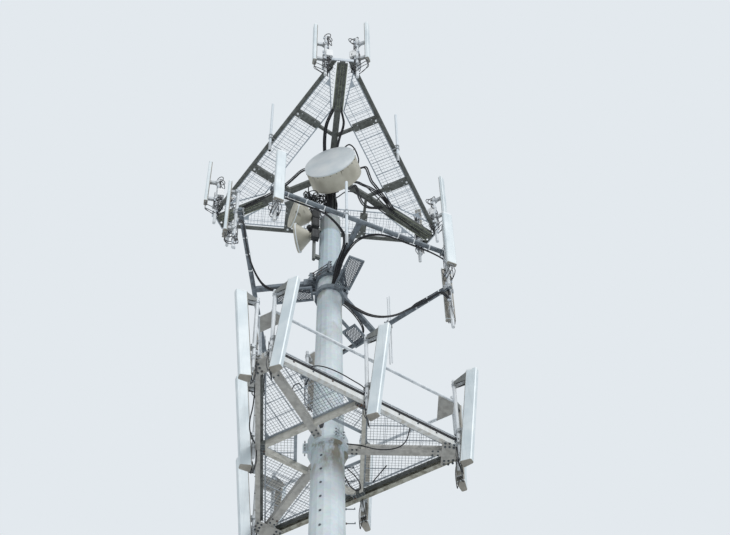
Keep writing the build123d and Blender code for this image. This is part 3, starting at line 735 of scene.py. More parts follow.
def u_bolts(mesh, foot, direction, z, radius, reach, spread=0.028):
    """Two bent threaded rods round a pipe, with a nut on each of their legs."""
    across = Vector((-direction.y, direction.x, 0))
    bend = radius + 0.005
    turns = [pi * i / 6 for i in range(7)]
    for lift in (-spread, spread):
        centre = Vector((foot.x, foot.y, z + lift))
        path = [centre + direction * reach + across * bend]
        path += [centre - direction * (sin(a) * bend) + across * (cos(a) * bend) for a in turns]
        path.append(centre + direction * reach - across * bend)
        tube(mesh, path, clamp_thread)
        for side in (-1, 1):
            nut(mesh, centre + direction * (reach - 0.018) + across * side * bend, direction, 0.010, 0.010)


def crossing_plates(meshes, azimuth, across, inner, outer, z, half=0.070):
    """Two plates that grip an upright pipe to a level one, drawn up by four rods."""
    away = spot(azimuth, 1, 0, 0)
    side = spot(azimuth, 0, 1, 0)
    for along in (inner - 0.010, outer):
        rings = []
        for step, trim in ((0, 0.004), (0.003, 0), (0.007, 0), (0.010, 0.004)):
            h = half - trim
            centre = spot(azimuth, along + step, across, z)
            square = [(-h, -h), (h, -h), (h, h), (-h, h)]
            rings.append([centre + side * a + upright * b for a, b in square])
        loft(meshes["pipe_plates"], rings)
    bolts = meshes["pipe_bolts"]
    for a in (-half + 0.020, half - 0.020):
        for b in (-half + 0.020, half - 0.020):
            start = spot(azimuth, inner - 0.035, across + a, z + b)
            end = spot(azimuth, outer + 0.035, across + a, z + b)
            rod(bolts, start, end, plate_thread, 6)
            nut(bolts, start + away * 0.010, away, 0.012, 0.012)
            nut(bolts, end - away * 0.022, away, 0.012, 0.012)


def hang_aerial(meshes, rail, azimuth, across, facing, size, **fittings):
    """One aerial on its pipe, gripped to a level beam or tube at the frame's edge."""
    reach, half, z, clamp_rises = rail
    along = reach + half + pipe_radius
    seat = Seat(spot(azimuth, along, across, 0), facing, size)
    sockets = panel_dress(meshes, seat, **fittings)
    for rise in clamp_rises:
        u_bolts(meshes["pipe_bolts"], seat.foot, seat.out, z + rise, pipe_radius, clamp_reach)
    crossing_plates(meshes, azimuth, across, reach - half, along + pipe_radius, z)
    return seat, sockets


def aerial_meshes():
    """An empty mesh for each kind of part that the aerials of a group have."""
    return {kind: bmesh.new() for kind, material, slot in aerial_kinds}


def aerial_pieces(group, meshes):
    """Makes the pieces of one group of aerials, of the kinds that it has."""
    for kind, material, slot in aerial_kinds:
        if meshes[kind].verts:
            piece(group + "_" + kind, meshes[kind], material)


def tilt_plates(mesh, seat, z, low_rise, high_rise):
    """The pair of plates between a pipe's upper clamp and a leaning panel's back."""
    back = seat.size["depth"] / 2
    for x in (-0.062, 0.056):
        sides = []
        for step in (0.0, 0.006):
            root = seat.foot + seat.x * (x + step) + seat.out * 0.030
            sides.append([root + upright * (z - 0.035), seat.at(x + step, back + 0.001, low_rise),
                          seat.at(x + step, back + 0.001, high_rise), root + upright * (z + 0.035)])
        loft(mesh, sides)


# Aerials of the middle platform. Nine deep wedge-shaped panels, three to a side, which
# lean out at the top on tilt plates; each pipe has a plastic cap.
deck_facings = {"front": -31.0, "back": 66.0, "left": 198.0}
deck_tilts = {"front": 6.6, "back": 5.5, "left": 4.5}
deck_pipe_across = deck_corner_radius * sin(radians(60)) - 0.230
deck_upper_clamp = 1.780
deck_rail = (deck_apothem, beam_half, deck_z, (0.330, deck_upper_clamp))
deck_size = {
    "front": 0.110, "back": 0.160, "depth": 0.220, "gap": 0.006, "length": 2.6,
    "low": deck_z - 0.620, "pipe_low": deck_z - 0.300,
}
meshes = aerial_meshes()
deck_aerials = []
for name, azimuth in deck_sides.items():
    facing = deck_facings[name]
    size = dict(deck_size, tilt=deck_tilts[name])
    for across in (-deck_pipe_across, 0.0, deck_pipe_across):
        seat, sockets = hang_aerial(meshes, deck_rail, azimuth, across, facing, size, under=False)
        deck_aerials.append((facing, seat, sockets))
        tilt_plates(meshes["tilt_plates"], seat, deck_z + deck_upper_clamp, 2.330, 2.560)
        cap_low = seat.foot + upright * (deck_z + 1.895)
        cap_high = seat.foot + upright * (deck_z + 1.915)
        rod(meshes["panel_caps"], cap_low, cap_high, pipe_radius + 0.003, 12)
aerial_pieces("deck", meshes)
dress(radome, "deck_panels_front", "deck_panels_back", "deck_panels_left")
pipe_steel = weathered_steel("galvanised_tube_steel", "#dbe1e6", "#c4cbd1", "#a2a5a4", 0.05)
dress(pipe_steel, "deck_antenna_pipes", "ring_antenna_pipes", "top_antenna_pipes")
dress(hardware, "deck_clamps", "ring_clamps", "top_clamps")

# Stand-off ring. Square and round steel tube, galvanised and left dull, clamped round
# the pole, with six broad flat panels; short step frames hang below.
ring_z = 31.970
arm_azimuths = {"near": -67.4, "right": 52.6, "left": 172.6}
near, right, left = arm_azimuths.values()
arm_reach = 1.600
face_radius = 0.050
ring_pipe_across = 1.890
ring_rail = (arm_reach, face_radius, ring_z, (-0.640, 0.820))
ring_facings = (
    ("near", -1, -67.4), ("near", 1, -67.4), ("left", 1, 186.0),
    ("left", -1, 172.6), ("right", -1, 95.0), ("right", 1, 52.6))
ring_size = {
    "front": 0.210, "back": 0.210, "depth": 0.080, "gap": 0.110, "length": 1.98,
    "low": ring_z - 0.840, "pipe_low": ring_z - 1.360, "tilt": 0.0,
}
ring_steel = weathered_steel("galvanised_ring_tube", "#7a858d", "#66707a", "#4b5157", 0.15)
dress(ring_steel, "arm_collar", "step_collar", "arm_face_pipes", "standoff_arms", "step_frames")
meshes = aerial_meshes()
ring_aerials = []
for name, side, facing in ring_facings:
    across = side * ring_pipe_across
    seat, sockets = hang_aerial(meshes, ring_rail, arm_azimuths[name], across, facing, ring_size)
    ring_aerials.append((name, facing, seat, sockets))
# One more pair of smaller plates stands on the right face pipe without an aerial.
spare_outer = arm_reach + face_radius + 0.028
crossing_plates(meshes, right, -0.350, arm_reach - face_radius, spare_outer, ring_z, 0.055)
aerial_pieces("ring", meshes)
dress(radome, "ring_panels_near", "ring_panels_left", "ring_panels_right")

# Brackets that clamp the three arms to the pole: plates with ears, drawn together round
# the collar by threaded rods, of the same dull steel as the arms.
collar_out = pole_half(ring_z - 0.130) + 0.055
bracket_thickness = 0.014
ring_ear_along = 0.370
ring_ear_across = 0.170
bracket_zs = (ring_z - 0.140, ring_z + 0.140)
rib_zs = (ring_z - 0.110, ring_z + 0.110)
plates, bolts = bmesh.new(), bmesh.new()
for azimuth, other in ((near, right), (right, left), (left, near)):
    slab(plates, azimuth, (collar_out, collar_out + bracket_thickness), (-0.190, 0.190), bracket_zs)
    for side in (-1, 1):
        ear = (side * 0.150, side * 0.190)
        slab(plates, azimuth, (collar_out, ring_ear_along + 0.030), ear, bracket_zs)
        slab(plates, azimuth, (collar_out, collar_out + 0.240), (side * 0.052, side * 0.064), rib_zs)
    for rise in (-0.100, 0.0, 0.100):
        start = spot(azimuth, ring_ear_along, ring_ear_across, ring_z + rise)
        end = spot(other, ring_ear_along, -ring_ear_across, ring_z + rise)
        axis = (end - start).normalized()
        rod(bolts, start - axis * 0.070, end + axis * 0.070, 0.010)
        for foot, away in ((start, -axis), (end, axis)):
            nut(bolts, foot + away * 0.030, away, 0.017, 0.018)
piece("ring_bracket_plates", plates, ring_steel)
piece("ring_bracket_rods", bolts, fastener)

# Mesh of the step frames. Steel sheet slit and pulled out into diamonds 60 mm long, then
# galvanised and welded into the frames; drawn as crossed strips.
step_z = ring_z - 0.600
step_half = 0.140
step_rim = 0.030
strand_half = 0.006
strand = [(-strand_half, 0.002), (strand_half, 0.002), (strand_half, 0.010), (-strand_half, 0.010)]
strand_pitch = 0.032
step_spans = ((near, 0.330, 1.100), (right, 0.840, 1.340), (left, 0.330, 1.100))
mesh = bmesh.new()
for azimuth, start, end in step_spans:
    sides = ((start + step_rim, 0), (end - step_rim, 0), (end - step_rim, 1), (start + step_rim, 1))
    outline = [spot(azimuth, along, 2 * step_half * far, 0) for along, far in sides]
    middle = middle_of(outline)
    for turn in (32, -32):
        direction = spot(azimuth + turn, 1, 0, 0)
        sideways = spot(azimuth + turn, 0, 1, 0)
        for i in range(-22, 23):
            origin = middle + sideways * (i * strand_pitch)
            found = inside_length(outline, origin, direction)
            if not found:
                continue
            rings = []
            for reach in found:
                p = origin + direction * reach
                rings.append([p + sideways * a + upright * (step_z + b) for a, b in strand])
            loft(mesh, rings)
piece("step_frame_mesh", mesh, wire_steel)

# Top platform. A triangle of round tube on three flat arms, galvanised long ago and
# now a dark green-grey, its colour drawn darker still as a painted shade for undersides
# that lie in shade, with bolted end plates that are still pale.
top_z = 36.600
top_sides = {"right": -25.2, "far": 94.8, "left": 214.8}
top_corners = {"near": -85.2, "right": 34.8, "left": 154.8}
top_apothem = 1.610
top_pipe_radius = 0.048
top_pipe_across = 3.220 * sin(radians(60)) - 0.520
top_rail = (top_apothem, top_pipe_radius, top_z, (0.340, 1.120))
# Each panel's side and facing, with how far its pipe is shifted in and lifted.
top_places = (
    ("left", 1, 190.0, 0.080, 0.300), ("left", -1, 187.0, 0.0, 0.0), ("right", -1, -22.0, 0.0, 0.200),
    ("right", 1, -30.0, 0.0, 0.0), ("far", -1, 75.0, 0.0, 0.0), ("far", 1, 112.0, 0.0, 0.0))
top_pipe_low = top_z - 0.750
top_size = {
    "front": 0.150, "back": 0.150, "depth": 0.090, "gap": 0.170, "length": 1.9,
    "low": top_z + 0.150, "tilt": 0.0,
}
top_steel = weathered_steel("old_galvanised_tube_and_painted_shade", "#666b69", "#545957", "#3f423f", 0.15)
end_steel = weathered_steel("galvanised_end_plate", "#cdd5dd", "#b4bec7", "#8f979e", 0.15)
dress(top_steel, "top_collar", "top_arms", "top_face_pipes", "top_struts", "top_mast")
dress(end_steel, "top_corner_plates")
meshes = aerial_meshes()
top_aerials = []
for name, side, facing, shift, lift in top_places:
    across = side * (top_pipe_across - shift)
    size = dict(top_size, pipe_low=top_pipe_low + lift)
    seat, sockets = hang_aerial(meshes, top_rail, top_sides[name], across, facing, size, crown=0.0)
    top_aerials.append((facing, seat, sockets))
strut_across = 0.88
arm_low = top_z - 0.045
bolts = meshes["pipe_bolts"]
for azimuth in top_corners.values():
    for across in (-0.19, -0.10, 0.10, 0.19):
        for rise in (-0.028, 0.028):
            bolt(bolts, spot(azimuth, 2.925, across, top_z + rise), spot(azimuth, -1, 0, 0), 0.011)
strut_acrosses = [side * strut_across + shift for side in (-1, 1) for shift in (-0.055, 0.055)]
for azimuth in top_sides.values():
    hanging_bolts(bolts, azimuth, (1.10, 1.45), strut_acrosses, arm_low, 0.011)
aerial_pieces("top", meshes)
dress(radome, "top_panels_left", "top_panels_right", "top_panels_far")

# Gratings of the top platform. Welded wire mesh, heavier one way than the other, in
# frames of flat edge bar, galvanised and still a pale blue-grey.
top_edge_bar = weathered_steel("galvanised_edge_bar", "#bcc7d1", "#aab6c1", "#94a1ac", 0.1)
top_wire = weathered_steel("pale_mesh_wire", "#78838f", "#67727e", "#545d67", 0.15)
dress(top_edge_bar, "top_grating_right", "top_grating_far", "top_grating_left")
outer = top_apothem - top_pipe_radius - 0.008
inner = outer - 0.625
arm_edge = 0.132 / cos(radians(60))
inner_half = inner * tan(radians(60)) - arm_edge
outer_half = outer * tan(radians(60)) - arm_edge - 0.010
mesh = bmesh.new()
for azimuth in top_sides.values():
    outline = four_sided(azimuth, inner, inner_half, outer, outer_half, 0.02)
    wire_mesh(mesh, outline, top_z + 0.055, azimuth, (0.080, 0.075), (0.0042, 0.0018))
piece("top_wire_mesh", mesh, top_wire)

# Planks of the three arms. Folded steel with two pairs of ribs under each, galvanised and
# gone green-grey; white plastic caps cover the bolts between the struts and the face pipes.
rib_span = (1.74, 2.86)
ribs, studs = bmesh.new(), bmesh.new()
for azimuth in top_corners.values():
    for side in (-1, 1):
        slab(ribs, azimuth, rib_span, (side * 0.022, side * 0.034), (top_z - 0.062, top_z - 0.044))
        slab(ribs, azimuth, rib_span, (side * 0.098, side * 0.118), (top_z - 0.066, top_z - 0.044))
    hanging_bolts(ribs, azimuth, (1.80, 2.05, 2.30, 2.55, 2.80), (0,), arm_low, 0.012)
for azimuth in top_sides.values():
    for across in (-strut_across, strut_across):
        foot = spot(azimuth, top_apothem - 0.075, across, arm_low)
        rod(studs, foot, foot - upright * 0.040, 0.024, 10)
rib_steel = weathered_steel("galvanised_plank_rib", "#848b7c", "#747b6c", "#5a5f52", 0.1)
piece("top_plank_ribs", ribs, rib_steel)
piece("top_strut_studs", studs, cap_plastic)

# Radio cases. Small cast aluminium boxes with a pale powder coat, ribbed to shed heat,
# on the backs of the top platform's aerial pipes.
case_low = top_z + 0.450
fin_half = 0.003
fin_pitch = 0.022
# The coat's orange peel is about 1 mm across; it is drawn at 6 mm so that it shows.
case_coat = clouded_finish(
    "powder_coated_aluminium", ("#d5dade", "#e6e9eb"), 6.0, 3.0, 0.5, grain=(0.006, 1.0, 0.06))
dress(case_coat, "top_radio_boxes")
fins, plugs = bmesh.new(), bmesh.new()
case_sockets = []
for facing, seat, sockets in top_aerials:
    back = facing + 180
    for i in range(7):
        middle = (i - 3) * fin_pitch
        sides = (middle - fin_half, middle + fin_half)
        square = [(sides[0], 0.012), (sides[1], 0.012), (sides[1], 0.288), (sides[0], 0.288)]
        loft(fins, [[seat.foot + spot(back, along, a, case_low + b) for a, b in square]
                    for along in (0.144, 0.160)])
    found = []
    for across in (-0.045, 0.0, 0.045):
        at = seat.foot + spot(back, 0.100, across, case_low)
        rod(plugs, at - upright * 0.045, at, 0.013)
        found.append(at - upright * 0.040)
    case_sockets.append(found)
piece("radio_case_fins", fins, case_coat)
piece("radio_case_plugs", plugs, hardware)

# Whip aerials. White glass-fibre tubes in an aluminium foot, held to the face pipes of
# the ring and the top platform by two banded clamps each.
whip_white = clouded_finish("white_glass_fibre_tube", ("#b9c5ce", "#d2dbe2"), 5.0, 2.0, 0.4)
dress(whip_white, "whips")
whip_radius = 0.030
ferrule_height = 0.34
# Each whip's azimuth, the face that it stands against, its place across and its levels.
whip_places = (
    (top_sides["left"], top_apothem + top_pipe_radius, 0, top_z, -0.650, 1.650),
    (top_sides["right"], top_apothem + top_pipe_radius, 0, top_z, -0.650, 1.650),
    (near, arm_reach + face_radius, -0.340, ring_z, -1.220, 1.280))
mesh = bmesh.new()
for azimuth, reach, across, z, low, high in whip_places:
    foot = spot(azimuth, reach + whip_radius, across, 0)
    bands = [(low, low + ferrule_height, whip_radius + 0.004), (high - 0.02, high, whip_radius * 0.7)]
    bands += [(rise - 0.018, rise + 0.018, whip_radius + 0.008) for rise in (-0.07, 0.07)]
    for start, end, radius in bands:
        rod(mesh, foot + upright * (z + start), foot + upright * (z + end), radius, 14)
    for rise in (-0.07, 0.07):
        u_bolts(mesh, foot, -spot(azimuth, 1, 0, 0), z + rise, whip_radius + 0.006, 0.12, 0.012)
piece("whip_feet_and_bands", mesh, hardware)

# Dishes. The big one is a spun aluminium drum, painted cream, with a stretched white
# fabric cover laced to its rim; rain has drawn dark runs from the bolts of the rim.
big_z = top_z - 0.850
big_azimuth = -110.0
big_face = spot(big_azimuth, 0.770, 0.250, big_z)
big_axis = spot(big_azimuth, 1, 0, 0)
big_radius = 0.590
rim_bolts = 24
small_radius = 0.330
dish_foot = spot(205.0, 0.380, 0, 0)
weave_size = 0.008
dish_cream, tree = empty_material("cream_painted_aluminium_in_painted_shade")
place = add_node(tree, "TexCoord")
cloud = add_node(tree, "TexNoise", {"Vector": place.outputs["Object"], "Scale": 3.0, "Detail": 4.0})
tone = add_node(tree, "MapRange", {"Value": cloud.outputs["Fac"], "From Min": 0.35, "From Max": 0.65})
# The cream is drawn grey and dark: a painted shade on the drums of the dishes.
cream_with_painted_shade = add_node(tree, "Mix", {
    0: tone.outputs[0], 6: linear("#a5a396"), 7: linear("#bbbaae")}, data_type="RGBA")
turned = add_node(tree, "Mapping", {
    "Vector": place.outputs["Object"], "Rotation": (0, 0, radians(-big_azimuth))})
drawn = add_node(tree, "Mapping", {"Vector": turned.outputs[0], "Scale": (2.0, 15.0, 15.0)})
runs = add_node(tree, "TexNoise", {"Vector": drawn.outputs[0], "Scale": 1.0, "Detail": 2.0})
run_mask = add_node(tree, "MapRange", {
    "Value": runs.outputs["Fac"], "From Min": 0.60, "From Max": 0.68, "To Max": 0.9})
axial = add_node(tree, "SeparateXYZ", {0: turned.outputs[0]})
rim_mask = add_node(tree, "MapRange", {
    "Value": axial.outputs["X"], "From Min": 0.56, "From Max": 0.70})
amount = add_node(tree, "Math", {0: run_mask.outputs[0], 1: rim_mask.outputs[0]}, operation="MULTIPLY")
stained = add_node(tree, "Mix", {
    0: amount.outputs[0], 6: cream_with_painted_shade.outputs[2], 7: linear("#5c5a4e")}, data_type="RGBA")
shader = add_node(tree, "BsdfPrincipled", {"Base Color": stained.outputs[2], "Roughness": 0.5})
add_node(tree, "OutputMaterial", {"Surface": shader.outputs[0]})
# The cover's weave is about 1 mm; it is drawn at 8 mm so that it shows.
cover_white = clouded_finish(
    "coated_white_fabric", ("#ccd6dc", "#e0e6e9"), 2.4, 5.0, 0.65, spread=(0.35, 0.7),
    grain=(weave_size, 2.0, 0.05))
dress(dish_cream, "big_dish", "small_dish_upper", "small_dish_lower")
dress(top_steel, "big_dish_mount", "dish_stays", "dish_pipe")


def dish_cover(mesh, face_middle, axis, radius, steps, sides):
    """A cover stretched over a dish's open face, as hoops at steps out and in from its rim."""
    loft(mesh, [hoop(face_middle + axis * step, axis, radius + grow, sides) for step, grow in steps])


mesh = bmesh.new()
steps = ((-0.030, 0.0035), (0.002, 0.0035), (0.006, -0.006), (0.006, -0.20), (0.010, -0.40))
dish_cover(mesh, big_face, big_axis, big_radius, steps, 48)
piece("big_dish_cover", mesh, cover_white)
mesh = bmesh.new()
steps = ((-0.020, 0.0030), (0.002, 0.0030), (0.006, -0.006), (0.012, -0.100), (0.016, -0.220))
for facing, reach, z in ((200.0, 0.480, 34.250), (168.0, 0.365, 33.600)):
    axis = spot(facing, 1, 0, 0)
    dish_cover(mesh, dish_foot + axis * reach + upright * z, axis, small_radius, steps, 36)
piece("small_dish_covers", mesh, cover_white)
mesh = bmesh.new()
aside = upright.cross(big_axis).normalized()
for i in range(rim_bolts):
    a = 2 * pi * i / rim_bolts
    away = cos(a) * aside + sin(a) * upright
    bolt(mesh, big_face - big_axis * 0.055 + away * (big_radius - 0.001), away, 0.008)
piece("big_dish_rim_bolts", mesh, fastener)

# Feeder cables. Black foam-filled cables 28 mm thick, tied along the face pipes and arms
# in bundles of two or three, from the aerial pipes to the pole and the mast.
feeder_radius = 0.014
trio = ((-0.026, 0.0), (0.0, -0.020), (0.026, 0.0))
pair = trio[:2]
single = trio[:1]


def cables(name, radius, routes):
    """Round cables, one smooth spline for each route of given points."""
    data = bpy.data.curves.new(name, "CURVE")
    data.dimensions = "3D"
    data.bevel_depth = radius
    data.bevel_resolution = 1
    data.resolution_u = 5
    data.use_fill_caps = True
    for route in routes:
        spline = data.splines.new("NURBS")
        spline.points.add(len(route) - 1)
        for place, p in zip(spline.points, route):
            place.co = (*p, 1.0)
        spline.order_u = 3
        spline.use_endpoint_u = True
    data.materials.append(cable_black)
    made = bpy.data.objects.new(name, data)
    bpy.context.scene.collection.objects.link(made)
    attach(made, "root")


def bundles(z, runs):
    """Each run's cables side by side, through points along and across an azimuth and above z."""
    routes = []
    for azimuth, offsets, points in runs:
        for shift, rise in offsets:
            routes.append([spot(azimuth, along, across + shift, z + lift + rise)
                           for along, across, lift in points])
    return routes


# Under the face pipes, as a height from their middle.
under = -0.055
routes = bundles(ring_z, (
    (near, trio, [
        (1.636, -1.888, -0.36), (1.540, -1.780, under), (1.545, -1.300, under), (1.545, -0.900, under),
        (1.510, -0.640, -0.075), (1.300, -0.230, -0.115), (0.980, -0.070, -0.07), (0.600, -0.060, -0.09),
        (0.330, -0.040, -0.42), (0.190, -0.020, -0.56)]),
    (near, pair, [
        (1.636, 1.888, -0.36), (1.540, 1.780, under), (1.545, 1.000, under), (1.540, 0.480, under),
        (1.300, 0.130, -0.085), (0.950, 0.030, -0.08), (0.600, 0.020, -0.09), (0.330, 0.030, -0.42),
        (0.190, 0.020, -0.56)]),
    (left, trio, [
        (1.636, 1.888, -0.36), (1.540, 1.760, under), (1.600, 1.200, -0.065), (1.540, 0.480, under),
        (1.330, 0.020, -0.105), (0.900, -0.020, -0.13), (0.560, -0.020, -0.20), (0.180, -0.020, -0.36)]),
    (right, trio, [
        (0.180, -0.040, -0.40), (0.560, -0.110, -0.30), (0.950, -0.350, -0.48), (1.270, -0.700, -0.42),
        (1.500, -1.000, -0.075), (1.545, -1.500, under), (1.545, -1.800, under), (1.636, -1.888, -0.36)]),
    (right, single, [
        (0.180, -0.020, -0.42), (0.560, -0.100, -0.33), (0.950, -0.340, -0.51), (1.275, -0.695, -0.45),
        (1.500, -1.000, -0.105), (1.545, -1.300, -0.145), (1.545, -1.550, -0.085), (1.545, -1.800, under),
        (1.636, -1.888, -0.40)]),
    (right, pair, [
        (1.505, -1.010, -0.065), (1.525, -1.080, 0.020), (1.560, -1.180, 0.064), (1.575, -1.500, 0.064),
        (1.575, -1.780, 0.064), (1.600, -1.850, 0.050), (1.636, -1.888, -0.060), (1.636, -1.888, -0.300)]),
    (right, pair, [
        (0.180, 0.020, -0.40), (0.560, 0.040, -0.12), (1.000, 0.030, -0.10), (1.420, 0.120, -0.09),
        (1.540, 0.500, under), (1.545, 1.760, under), (1.636, 1.888, -0.36)])))
cables("ring_feeder_cables", feeder_radius, routes)
feeder_ends = [max((route[0], route[-1]), key=lambda p: p.x * p.x + p.y * p.y) for route in routes]

corner_near, corner_right, corner_left = top_corners.values()
# Under the top platform's arms, likewise.
under = -0.085
cables("top_feeder_cables", feeder_radius, bundles(top_z, (
    (corner_near, trio, [
        (1.900, -0.070, 0), (1.740, -0.080, -0.02), (1.580, -0.150, -0.05), (1.300, -0.240, -0.10),
        (0.850, -0.230, -0.16), (0.400, -0.150, -0.32), (0.125, -0.050, -0.75), (0.115, -0.040, -2.17)]),
    (corner_near, pair, [
        (1.900, 0.070, 0), (1.740, 0.080, -0.02), (1.600, 0.130, -0.05), (1.380, 0.200, -0.10),
        (0.980, 0.090, -0.16), (0.420, 0.060, -0.34), (0.125, 0.030, -0.80), (0.115, 0.030, -2.17)]),
    (corner_right, single, [
        (2.600, 0.060, under), (1.750, 0.000, under), (1.150, -0.190, -0.16), (0.620, -0.330, -0.22),
        (0.250, -0.200, -0.35), (0.115, -0.030, -0.80), (0.045, -0.015, -0.86)]),
    (corner_right, single, [
        (1.900, 0.120, under), (1.300, 0.040, -0.20), (0.750, -0.120, -0.42), (0.350, -0.150, -0.60),
        (0.115, -0.050, -1.10), (0.045, -0.020, -1.16)]),
    (corner_left, trio, [
        (2.300, 0.080, under), (1.250, 0.160, under), (0.850, 0.300, -0.10), (0.450, 0.480, -0.13),
        (0.160, 0.330, -0.22), (0.115, 0.060, -0.70), (0.045, 0.030, -0.76)]))))

# Cable bracket at the foot of the mast. A flat steel bar clamped to the mast and to the
# dish pipe, with a row of silver connectors and the spare cable of the dishes in coils.
bracket_azimuth = 213.0
bracket_z = 35.150
bracket_reach = 0.680
lower_azimuth = 205.0
lower_z = 34.440
bar_half = 0.005
connector_radius = 0.017
lower_connector_radius = 0.015
coil_radius = 0.012


def coil(centre, azimuth, wide, tall):
    """A closed loop of cable that hangs upright, swung a little out of its own plane."""
    route = []
    for k in range(9):
        a = 2 * pi * k / 8
        route.append(centre + spot(azimuth, wide * cos(a - pi / 2), 0.02 * sin(a), tall * sin(a - pi / 2)))
    return route


mesh = bmesh.new()
for azimuth, alongs, acrosses, zs in (
        (bracket_azimuth, (0.060, bracket_reach), (-bar_half, bar_half), (-0.030, 0.030)),
        (bracket_azimuth, (0.300, 0.660), (-0.060, -0.052), (-0.120, 0.020)),
        (bracket_azimuth, (0.450, 0.470), (-0.056, 0.004), (-0.020, 0.010))):
    slab(mesh, azimuth, alongs, acrosses, (bracket_z + zs[0], bracket_z + zs[1]))
slab(mesh, lower_azimuth, (0.060, 0.420), (-bar_half, bar_half), (lower_z, lower_z + 0.050))
piece("mast_foot_bracket", mesh, top_steel)
mesh = bmesh.new()
for i in range(13):
    across = 0.012 if i % 2 else -0.070
    at = spot(bracket_azimuth, 0.150 + 0.042 * i, across, bracket_z - 0.020 - 0.030 * (i % 3))
    rod(mesh, at, at - upright * 0.080, connector_radius)
for i in range(6):
    at = spot(lower_azimuth, 0.200 + 0.040 * i, 0.015, lower_z + 0.010 + 0.020 * (i % 2))
    rod(mesh, at, at - upright * 0.070, lower_connector_radius)
piece("mast_foot_connectors", mesh, end_steel)
routes = []
for i in range(14):
    wide = 0.075 + 0.020 * ((i * 3) % 4)
    tall = 0.150 + 0.035 * ((i * 5) % 5)
    z = bracket_z - 0.080 + tall * 0.55 - 0.060 * (i % 3)
    centre = spot(bracket_azimuth, 0.140 + 0.038 * i, 0.070 * ((i * 2) % 3 - 1), z)
    routes.append(coil(centre, bracket_azimuth + 25.0 * ((i * 3) % 5 - 2), wide, tall))
for i in range(9):
    wide = 0.080 + 0.022 * ((i * 2) % 4)
    tall = 0.110 + 0.030 * ((i * 3) % 4)
    centre = spot(203.0, 0.260 + 0.045 * i, 0.050 * ((i * 2) % 3 - 1), 34.560 - 0.045 * (i % 4))
    routes.append(coil(centre, 200.0 + 30.0 * ((i * 2) % 4 - 1), wide, tall))
cables("mast_foot_coils", coil_radius, routes)

# Cables up the mast, and from its foot to the junction box. The first lie against the
# mast between its foot and the platform's collar; the others cross in two bundles.
mast_cable_radius = 0.015
box_cable_radius = 0.013
routes = []
for i, azimuth in enumerate((-172, -160, -148, -40, -28, -16, -4, 8)):
    lean = 0.012 * ((i * 3) % 4)
    points = ((0.165, 0.0, 34.440), (0.140 + lean, 0.010, 34.520), (0.112, 0.0, 34.700),
              (0.128 + lean, 0.015, 35.100), (0.112, 0.0, 35.500), (0.108, 0.0, 35.880), (0.070, 0.0, 35.960))
    routes.append([spot(azimuth, along, across, z) for along, across, z in points])
cables("mast_side_cables", mast_cable_radius, routes)
cables("junction_box_cables", box_cable_radius, bundles(0, (
    (corner_left, trio, [
        (0.045, 0.030, 35.60), (0.420, 0.180, 35.62), (0.700, 0.080, 35.78), (0.900, 0.020, 35.93)]),
    (corner_left, trio, [
        (0.045, 0.000, 35.30), (0.500, -0.080, 35.36), (0.800, -0.060, 35.66), (0.960, -0.020, 35.93)]))))

# Cables of the big dish. One loop over its rim, tied there, and three pairs that leave
# sleeves on its back and reach the right arm, where steel clips hold them.
big_dish_radius = 0.017
rim_loop = [(0.060, -0.330, 36.16), (0.220, -0.700, 36.42), (0.386, -0.950, 36.33), (0.470, -0.985, 36.20),
            (0.540, -0.990, 36.02), (0.612, -0.820, 36.00), (0.640, -0.700, 35.96), (0.560, -0.560, 35.80),
            (0.300, -0.400, 35.70)]
runs_right = [
    [(0.420, -0.520, 35.80), (0.690, -0.520, 36.00), (0.800, -0.520, 36.06), (0.860, -0.330, 36.10),
     (0.930, -0.060, 36.20), (1.030, 0.220, 36.50), (1.180, 0.470, 36.57), (1.400, 0.760, 36.57),
     (1.520, 0.960, 36.56)],
    [(0.330, -0.380, 35.60), (0.600, -0.160, 36.00), (0.720, 0.030, 36.20), (0.940, 0.260, 36.45),
     (1.180, 0.530, 36.58), (1.360, 0.760, 36.56), (1.440, 0.920, 36.55)],
    [(0.205, -0.345, 35.50), (0.420, -0.060, 35.74), (0.545, -0.100, 36.00), (0.620, 0.080, 36.00),
     (0.655, 0.300, 36.10), (0.760, 0.620, 36.30), (0.900, 0.760, 36.40), (1.060, 0.820, 36.50),
     (1.200, 0.860, 36.55)],
]
routes = [[Vector(p) for p in rim_loop]]
mesh = bmesh.new()
for run in runs_right:
    for shift in (Vector((-0.016, 0.016, 0.0)), Vector((0.016, -0.016, -0.010))):
        routes.append([Vector(p) + shift for p in run])
    start = Vector(run[0])
    heading = (Vector(run[1]) - start).normalized()
    rod(mesh, start - heading * 0.010, start + heading * 0.055, 0.048, 12)
cables("big_dish_cables", big_dish_radius, routes)
rod(mesh, Vector((0.505, -0.985, 35.98)), Vector((0.548, -1.000, 36.03)), 0.010)
for along in (1.250, 1.500):
    slab(mesh, corner_right, (along, along + 0.030), (-0.190, 0.060), (top_z - 0.050, top_z - 0.044))
piece("big_dish_cable_clips", mesh, top_steel)

# Jumpers of the aerials. Thin black cables 16 mm thick, with drip loops at the aerials'
# feet and spare lengths coiled and tied round the pipes, among silver connectors.
jumper_radius = 0.008
spare_coil_radius = 0.010
top_joint_radius = 0.020
ring_joint_radius = 0.018
top_pipe_length = 2.0


